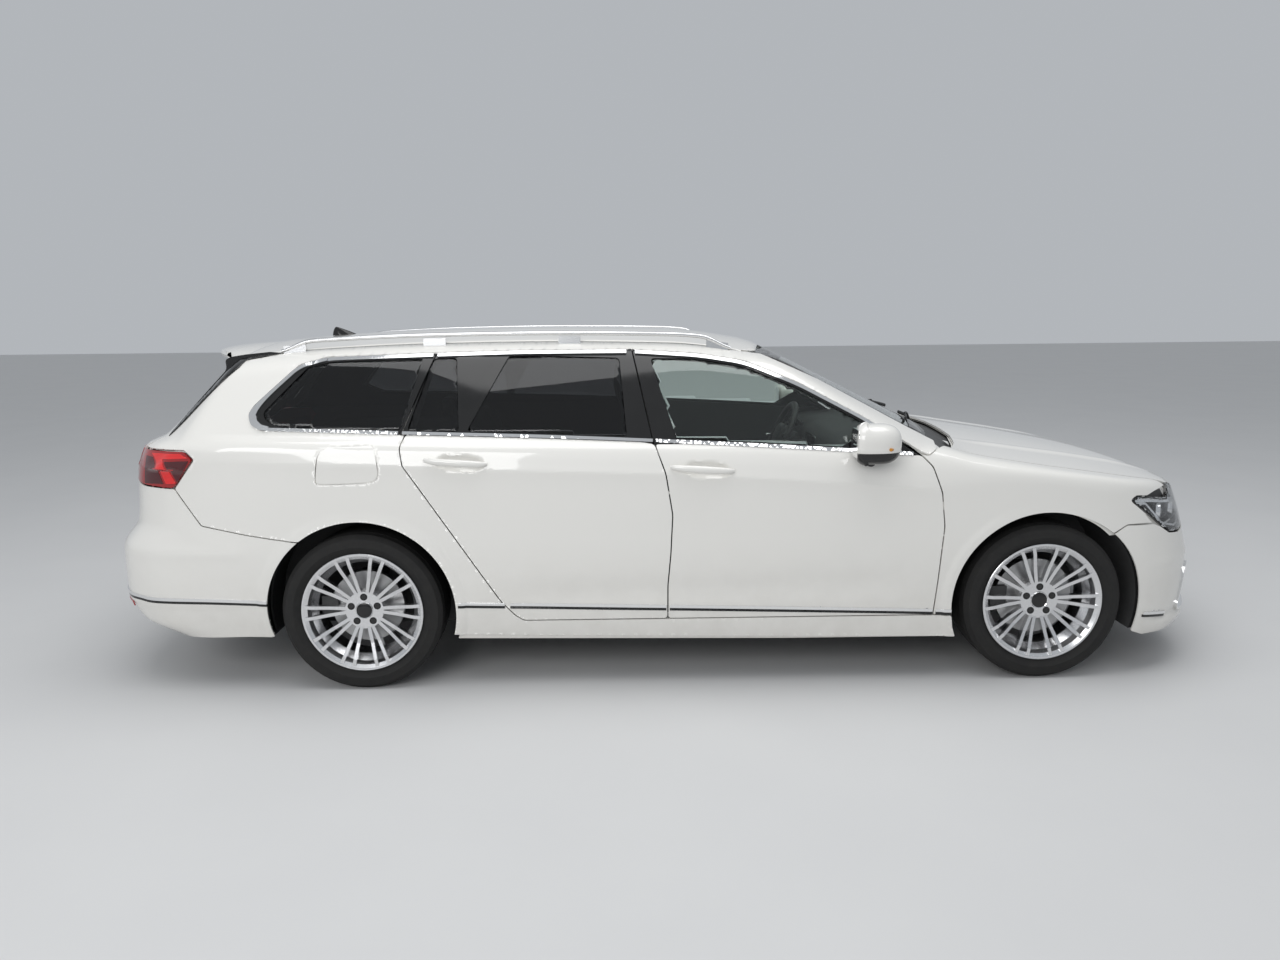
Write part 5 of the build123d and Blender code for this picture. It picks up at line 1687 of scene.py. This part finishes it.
# %% Remaining nodes
for node, finish in {
    "front_axle": steel_dark, "rear_axle": steel_dark, "exhaust": steel_dark, "engine": steel_dark,
    "floor_pan": under_coat,
    "knuckle_front_left": steel_dark, "knuckle_front_right": steel_dark, "fuel_flap": paint,
}.items():
    finish_node(node, finish)
print("remaining nodes finished")

# %% [markdown]
# ## Cabin
# Seats are padded pieces. A rounded block is remeshed, the cloth solver blows it up a little, the movement is capped,
# and the sewn channels are pressed in afterwards. The right seat is the left one mirrored.

# %% Padded pieces
def mesh_points(mesh):
    """Points of a mesh in millimetres."""
    points = np.zeros(len(mesh.vertices) * 3)
    mesh.vertices.foreach_get("co", points)
    return points.reshape(-1, 3) * 1000


def applied(piece):
    """Makes the result of the modifiers the piece's own mesh."""
    bpy.context.view_layer.update()
    mesh = bpy.data.meshes.new_from_object(piece.evaluated_get(bpy.context.evaluated_depsgraph_get()))
    piece.modifiers.clear()
    piece.data = mesh


def swell(piece, cap_mm, voxel_mm):
    """Remeshes the piece and lets the cloth solver blow it up for 20 frames; no point moves more than the cap."""
    remesh = piece.modifiers.new("remesh", "REMESH")
    remesh.mode, remesh.voxel_size, remesh.use_smooth_shade = "VOXEL", voxel_mm / 1000, True
    applied(piece)
    start = mesh_points(piece.data)
    cloth = piece.modifiers.new("cloth", "CLOTH")
    cloth.settings.use_pressure, cloth.settings.uniform_pressure_force = True, 4.0
    cloth.settings.effector_weights.gravity = 0
    for step in range(1, 21):
        bpy.context.scene.frame_set(step)
    blown = mesh_points(piece.evaluated_get(bpy.context.evaluated_depsgraph_get()).data)
    piece.modifiers.clear()
    move = blown - start
    move *= np.minimum(1, cap_mm / np.maximum(np.linalg.norm(move, axis=1), 1e-6))[:, None]
    piece.data.vertices.foreach_set("co", ((start + move) / 1000).ravel())


def press_seams(piece, seams):
    """Presses grooves 5 mm deep along sewn lines: seams gives each point's distance to the nearest line."""
    points = mesh_points(piece.data)
    away = np.zeros(points.size)
    piece.data.vertices.foreach_get("normal", away)
    depth = 5 * np.exp(-(seams(points) / 7.0) ** 2)
    piece.data.vertices.foreach_set("co", ((points - away.reshape(-1, 3) * depth[:, None]) / 1000).ravel())


def padded_piece(name, grid, seams, voxel_mm=10.0, body="shell"):
    """Padded piece from a closed grid surface."""
    piece = grid_piece(name, grid, cushion_cloth, body, wrap_v=True)
    swell(piece, 16.0, voxel_mm)
    finer = piece.modifiers.new("finer", "SUBSURF")
    finer.levels = finer.render_levels = 1
    applied(piece)
    press_seams(piece, seams)
    piece.data.polygons.foreach_set("use_smooth", np.full(len(piece.data.polygons), True))
    return piece


def twin(piece, name):
    """The piece mirrored to the right side, as its own padded piece."""
    mesh = piece.data.copy()
    mesh.vertices.foreach_set("co", (mirror_points(mesh_points(mesh)) / 1000).ravel())
    mesh.flip_normals()
    other = bpy.data.objects.new(name, mesh)
    bpy.context.scene.collection.objects.link(other)
    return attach(other, "shell")


def nearest(values, lines):
    """Distance of each value to the nearest of some lines."""
    return np.abs(values[:, None] - np.array(lines)).min(1)


# %% Front seats
SEAT_Y = 370.0
grid = egg((185, SEAT_Y, 385), (232, 205, 64), 0.42, (36, 64))
side_part = np.abs(grid[..., 1] - SEAT_Y) / 205
grid[..., 2] += (grid[..., 0] - 185) * 0.08 + 20 * rise((side_part - 0.6) / 0.25) * (grid[..., 2] > 385)
seat = padded_piece("front_seat_cushion_left", grid, lambda p: np.where(
    p[:, 2] > 395, np.minimum(
        np.abs(np.abs(p[:, 1] - SEAT_Y) - 128),
        np.where(np.abs(p[:, 1] - SEAT_Y) < 128, nearest(p[:, 0], (60, 150, 240, 330)), 99)
    ), 99))
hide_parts("front_seats")
grid = egg((-85, SEAT_Y, 765), (44, 205, 322), 0.42, (64, 44))
side_part = np.abs(grid[..., 1] - SEAT_Y) / 205
grid[..., 0] += np.where(grid[..., 0] > -85, 26 * rise((side_part - 0.6) / 0.25), 0) - (grid[..., 2] - 765) * 0.235
grid[..., 1] = SEAT_Y + (grid[..., 1] - SEAT_Y) * (1 - 0.2 * rise((grid[..., 2] - 930) / 150))
backrest = padded_piece("front_seat_back_left", grid, lambda p: np.where(
    p[:, 0] + (p[:, 2] - 765) * 0.235 > -75,
    np.minimum(
        np.abs(np.abs(p[:, 1] - SEAT_Y) - 126),
        np.where(np.abs(p[:, 1] - SEAT_Y) < 126, nearest(p[:, 2], (560, 650, 740, 830, 920)), 99)
    ), 99))
grid = egg((-190, SEAT_Y, 1186), (34, 112, 66), 0.5, (26, 36))
grid[..., 0] -= (grid[..., 2] - 1186) * 0.16
headrest = padded_piece("front_headrest_left", grid, lambda p: np.abs(np.abs(p[:, 1] - SEAT_Y) - 78), 9.0)
for piece in (seat, backrest, headrest):
    twin(piece, piece.name.replace("left", "right"))
for side, sign in SIDES.items():
    for k, y in enumerate((SEAT_Y - 55, SEAT_Y + 55)):
        tube(
            f"front_headrest_post_{k}_{side}",
            [(-158, sign * y, 1060), (-166, sign * y, 1098), (-176, sign * y, 1140)], 6.5, chrome, "shell",
        )
    base = egg((170, sign * SEAT_Y, 292), (235, 210, 50), 0.3, (20, 48))
    grid_piece("front_seat_base_" + side, base, black_cabin, "shell", wrap_v=True)
    for k, y in enumerate((SEAT_Y - 170, SEAT_Y + 170)):
        tube(
            f"front_seat_rail_{k}_{side}",
            [(-60, sign * y, 238), (160, sign * y, 238), (400, sign * y, 238)], 11, steel_dark, "shell",
            flat=0.8
        )

# %% Rear bench
grid = egg((-655, 0, 425), (218, 580, 66), 0.4, (30, 96))
grid[..., 2] += (grid[..., 0] + 655) * 0.07 + 12 * np.cos(grid[..., 1] / 370 * math.pi) * (grid[..., 2] > 425) * -1
bench = padded_piece("rear_bench_cushion", grid, lambda p: np.where(
    p[:, 2] > 432, np.minimum(nearest(np.abs(p[:, 1]), (190, 520)), nearest(p[:, 0], (-780, -680, -580))), 99), 12.0)
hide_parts("rear_bench")
grid = egg((-842, 0, 782), (42, 580, 276), 0.4, (44, 84))
grid[..., 0] -= (grid[..., 2] - 782) * 0.317
padded_piece("rear_bench_back", grid, lambda p: np.where(
    p[:, 0] + (p[:, 2] - 782) * 0.317 > -832, np.minimum(
        nearest(np.abs(p[:, 1]), (190, 520)), nearest(p[:, 2], (620, 720, 820, 920))
    ), 99), 12.0)
for name, y in (("left", 370.0), ("middle", 0.0), ("right", -370.0)):
    grid = egg((-962, y, 1112), (30, 112, 46), 0.5, (22, 34))
    padded_piece("rear_headrest_" + name, grid, lambda p: np.abs(np.abs(p[:, 1] - y) - 80), 9.0)
print("seats")

# %% [markdown]
# ## Dashboard, steering wheel and trim

# %% Dashboard
dash_profile = softened([
    (1105, 968), (1000, 978), (860, 972), (782, 962), (738, 934), (722, 886), (742, 842), (748, 770),
    (790, 690), (860, 640), (900, 612), (1105, 612),
], 16)
dash_y = np.linspace(-764, 764, 90)
hood = np.exp(-((dash_y - SEAT_Y) / 150.0) ** 4)
rows = []
for x, z in spaced(dash_profile, 16):
    near = rise((900 - x) / 120)
    top = rise((z - 900) / 50)
    rows.append(np.stack([
        np.full(90, x) + 16 * (np.abs(dash_y) / 764) ** 2 * near - 10 * hood * near * top, dash_y,
        np.full(90, z) + (8 * hood * near - 26 * (np.abs(dash_y) / 764) ** 4) * top,
    ], 1))
dash = grid_piece("dashboard_moulding", np.stack(rows, 1), black_cabin, "shell", wrap_v=True, caps=True)
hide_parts("dashboard")


def dash_block(name, middle, half, finish, power=0.25):
    """Rounded block on the dashboard or console."""
    return grid_piece(name, egg(middle, half, power, (18, 40)), finish, "shell", wrap_v=True)


dash_block("dash_screen", (733, 0, 880), (9, 118, 42), trim_gloss)
dash_block("instrument_panel", (742, SEAT_Y, 908), (9, 128, 40), trim_gloss)
dash_block("dash_bright_band", (734, -330, 822), (8, 420, 5), chrome)
for k, y in enumerate((-690, -170, 165, 690)):
    dash_block(f"dash_vent_{k}", (735, y, 855 if abs(y) < 300 else 872), (11, 50, 22), trim_satin)
    for j in range(3):
        dash_block(
            f"dash_vent_blade_{k}_{j}", (725, y, (843 if abs(y) < 300 else 860) + 12 * j), (5, 44, 1.6),
            chrome
        )
dash_block("climate_controls", (747, 0, 775), (9, 110, 22), trim_gloss)
for k, y in enumerate((-72, 72)):
    turned = np.linspace(0, 2 * math.pi, 36, endpoint=False)
    knob = np.stack(
        [
            np.stack([740 - d + 0 * turned, y + r * np.cos(turned), 775 + r * np.sin(turned)], 1) for r,
            d in ((19, 0), (18, 14), (15, 17), (0.5, 17.5))
        ]
    )
    grid_piece(f"climate_knob_{k}", knob, chrome, "shell", wrap_v=True)
console_x = np.linspace(-120, 760, 50)
top = 470 - 60 * rise((console_x + 120) / 40) + 30 + 150 * rise((console_x - 520) / 200)
width = 92 + 14 * rise((console_x - 520) / 200)
section = [(-1, 0), (-1, 0.9), (-0.85, 1.0), (0.85, 1.0), (1, 0.9), (1, 0)]
console = np.stack([np.stack([console_x, w * width, 334 + h * (top - 334)], 1) for w, h in section], 1)
grid_piece("centre_console", console, black_cabin, "shell", wrap_v=True, caps=True)
dash_block("console_armrest", (-10, 0, 478), (118, 78, 24), cushion_cloth, power=0.4)
dash_block("gear_panel", (420, 0, 446), (86, 62, 6), trim_gloss)
tube("gear_lever", [(420, 0, 440), (416, 0, 480), (410, 0, 520)], [9, 7, 7], chrome, "shell")
dash_block("gear_knob", (406, 0, 540), (30, 22, 24), black_cabin, power=0.8)

# %% Steering wheel
tilt = math.radians(25)
hub = np.array([640.0, SEAT_Y, 870.0])
wheel_up = np.array([math.sin(tilt), 0, math.cos(tilt)])
wheel_out = np.array([-math.cos(tilt), 0, math.sin(tilt)])
across_y = np.array([0, 1.0, 0])
turn = np.linspace(0, 2 * math.pi, 72, endpoint=False)[:, None]
rim = hub + 172 * (np.cos(turn) * across_y + np.sin(turn) * wheel_up)
wheel_rim = tube("steering_wheel_rim", rim, 15.5, black_cabin, "shell", sides=18, closed=True)
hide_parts("steering_wheel")
for k, angle in enumerate((8, 172, 270)):
    way = math.cos(math.radians(angle)) * across_y + math.sin(math.radians(angle)) * wheel_up
    t = np.linspace(0, 1, 12)[:, None]
    spoke = hub + way * (52 + 112 * t) - wheel_out * (10 - 4 * t)
    tube(
        f"steering_wheel_spoke_{k}", spoke, 16 - 5 * t[:, 0], trim_satin if k < 2 else chrome, "shell",
        flat=0.6
    )
boss = egg((0, 0, 0), (26, 72, 58), 0.55, (20, 40))
boss = hub + boss[..., :1] * wheel_out + boss[..., 1:2] * across_y + boss[..., 2:3] * wheel_up
grid_piece("steering_wheel_boss", boss, black_cabin, "shell", wrap_v=True)
column = [hub - wheel_out * d for d in (20, 70, 120)]
tube("steering_column", column, [34, 46, 56], black_cabin, "shell", sides=24)
for name, sign in (("left", 1), ("right", -1)):
    stalk = [hub - wheel_out * 52 + across_y * sign * r + wheel_up * (0.12 * r) for r in (30, 90, 140)]
    tube("column_stalk_" + name, stalk, [7, 6, 7.5], trim_satin, "shell")

# %% Trim, carpet, mirror and load cover
for side, sign in SIDES.items():
    for end, middle in (("front", 480), ("rear", -500)):
        body = f"door_{end}_{side}"
        rest = egg((middle, sign * 742, 700), (225, 34, 26), 0.4, (18, 44))
        rest[..., 2] += 0.05 * (rest[..., 0] - middle)
        grid_piece(f"{end}_door_armrest_{side}", rest, black_cabin, body, wrap_v=True)
        pull = egg((middle + 190, sign * 762, 815), (52, 10, 10), 0.5, (14, 30))
        grid_piece(f"{end}_door_inner_handle_{side}", pull, chrome, body, wrap_v=True)
carpet_line = [(-400, -592), (1090, -592), (1090, 592), (-400, 592)]
flat, faces = net(softened(carpet_line, 30), gap=40.0)
lift = 229 + 108 * rise((136 - np.abs(flat[:, 1])) / 10) + 2 * np.sin(flat[:, 0] / 37) * np.sin(flat[:, 1] / 41)
mat = mesh_object("carpet", np.stack([flat[:, 0], flat[:, 1], lift], 1), faces, carpet)
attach(mat, "shell")
cover_flat, faces = net(softened([(-1700, -500), (-1030, -560), (-1030, 560), (-1700, 500)], 30), gap=40.0)
cover = mesh_object(
    "load_cover",
    np.stack([cover_flat[:, 0], cover_flat[:, 1], 968 - 4 * np.cos(cover_flat[:, 1] / 360)], 1), faces,
    black_cabin
)
thicken(cover, 6.0, 1.0)
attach(cover, "shell")
dash_block("cabin_mirror", (452, 0, 1262), (14, 118, 32), trim_gloss, power=0.45)
tube("cabin_mirror_stem", [(462, 0, 1276), (492, 0, 1296), (520, 0, 1306)], 7, trim_satin, "shell")
print("cabin")

# %% [markdown]
# ## Studio
# A pale floor, a soft sky and two large lamps; the camera stands where the photographer's did.

# %% Floor, light and camera
floor_finish = Finish("pale_floor", Roughness=0.75)
floor_finish.feed(
    "Base Color",
    floor_finish.blend(floor_finish.noise(1.5, 3.0), colour(0.62, 0.62, 0.62), colour(0.66, 0.66, 0.655))
)
reach = np.linspace(-1, 1, 41)
floor_u, floor_v = np.meshgrid(reach, reach)
floor_points = np.stack([floor_u.ravel() * 30000, floor_v.ravel() * 30000, 0 * floor_u.ravel()], 1)
index = np.arange(41 * 41).reshape(41, 41)
floor_faces = np.stack([index[:-1, :-1], index[:-1, 1:], index[1:, 1:], index[1:, :-1]], -1).reshape(-1, 4)
mesh_object("floor", floor_points, floor_faces, floor_finish.material)

world = bpy.data.worlds.new("studio")
bpy.context.scene.world = world
world.use_nodes = True
world.node_tree.nodes["Background"].inputs[0].default_value = (0.86, 0.90, 0.95, 1)
world.node_tree.nodes["Background"].inputs[1].default_value = 0.52


def softbox(name, place, aim, size, watts):
    """Large rectangular lamp that faces aim."""
    lamp = bpy.data.lights.new(name, "AREA")
    lamp.shape, lamp.size, lamp.size_y, lamp.energy = "RECTANGLE", size[0], size[1], watts
    holder = bpy.data.objects.new(name, lamp)
    holder.location = place
    holder.rotation_euler = (Vector(aim) - Vector(place)).to_track_quat("-Z", "Y").to_euler()
    bpy.context.scene.collection.objects.link(holder)


softbox("overhead", (0.5, -1.0, 6.5), (0, 0, 0.5), (7.0, 4.5), 225)
softbox("camera_side", (-3.5, -7.5, 4.0), (0, 0, 0.6), (5.0, 3.0), 190)

camera_data = bpy.data.cameras.new("photo_camera")
camera_data.lens, camera_data.sensor_width = 27.06, 36.0
camera = bpy.data.objects.new("photo_camera", camera_data)
bpy.context.scene.collection.objects.link(camera)
bpy.context.scene.camera = camera
yaw, pitch, roll = -0.0176, 0.1812, -0.0101
ahead = Vector((-math.sin(yaw), math.cos(yaw), 0))
right_hand = Vector((math.cos(yaw), math.sin(yaw), 0))
up = Vector((0, 0, 1))
sight = ahead * math.cos(pitch) - up * math.sin(pitch)
lifted = up * math.cos(pitch) + ahead * math.sin(pitch)
level = right_hand * math.cos(roll) + lifted * math.sin(roll)
crown = lifted * math.cos(roll) - right_hand * math.sin(roll)
turn = np.array([level, crown, -sight]).T
camera.matrix_world = Matrix.Translation((-0.193, -4.6697, 1.555)) @ Matrix(turn.tolist()).to_4x4()
camera_data.clip_end = 200.0
bpy.context.scene.view_settings.view_transform = "Standard"
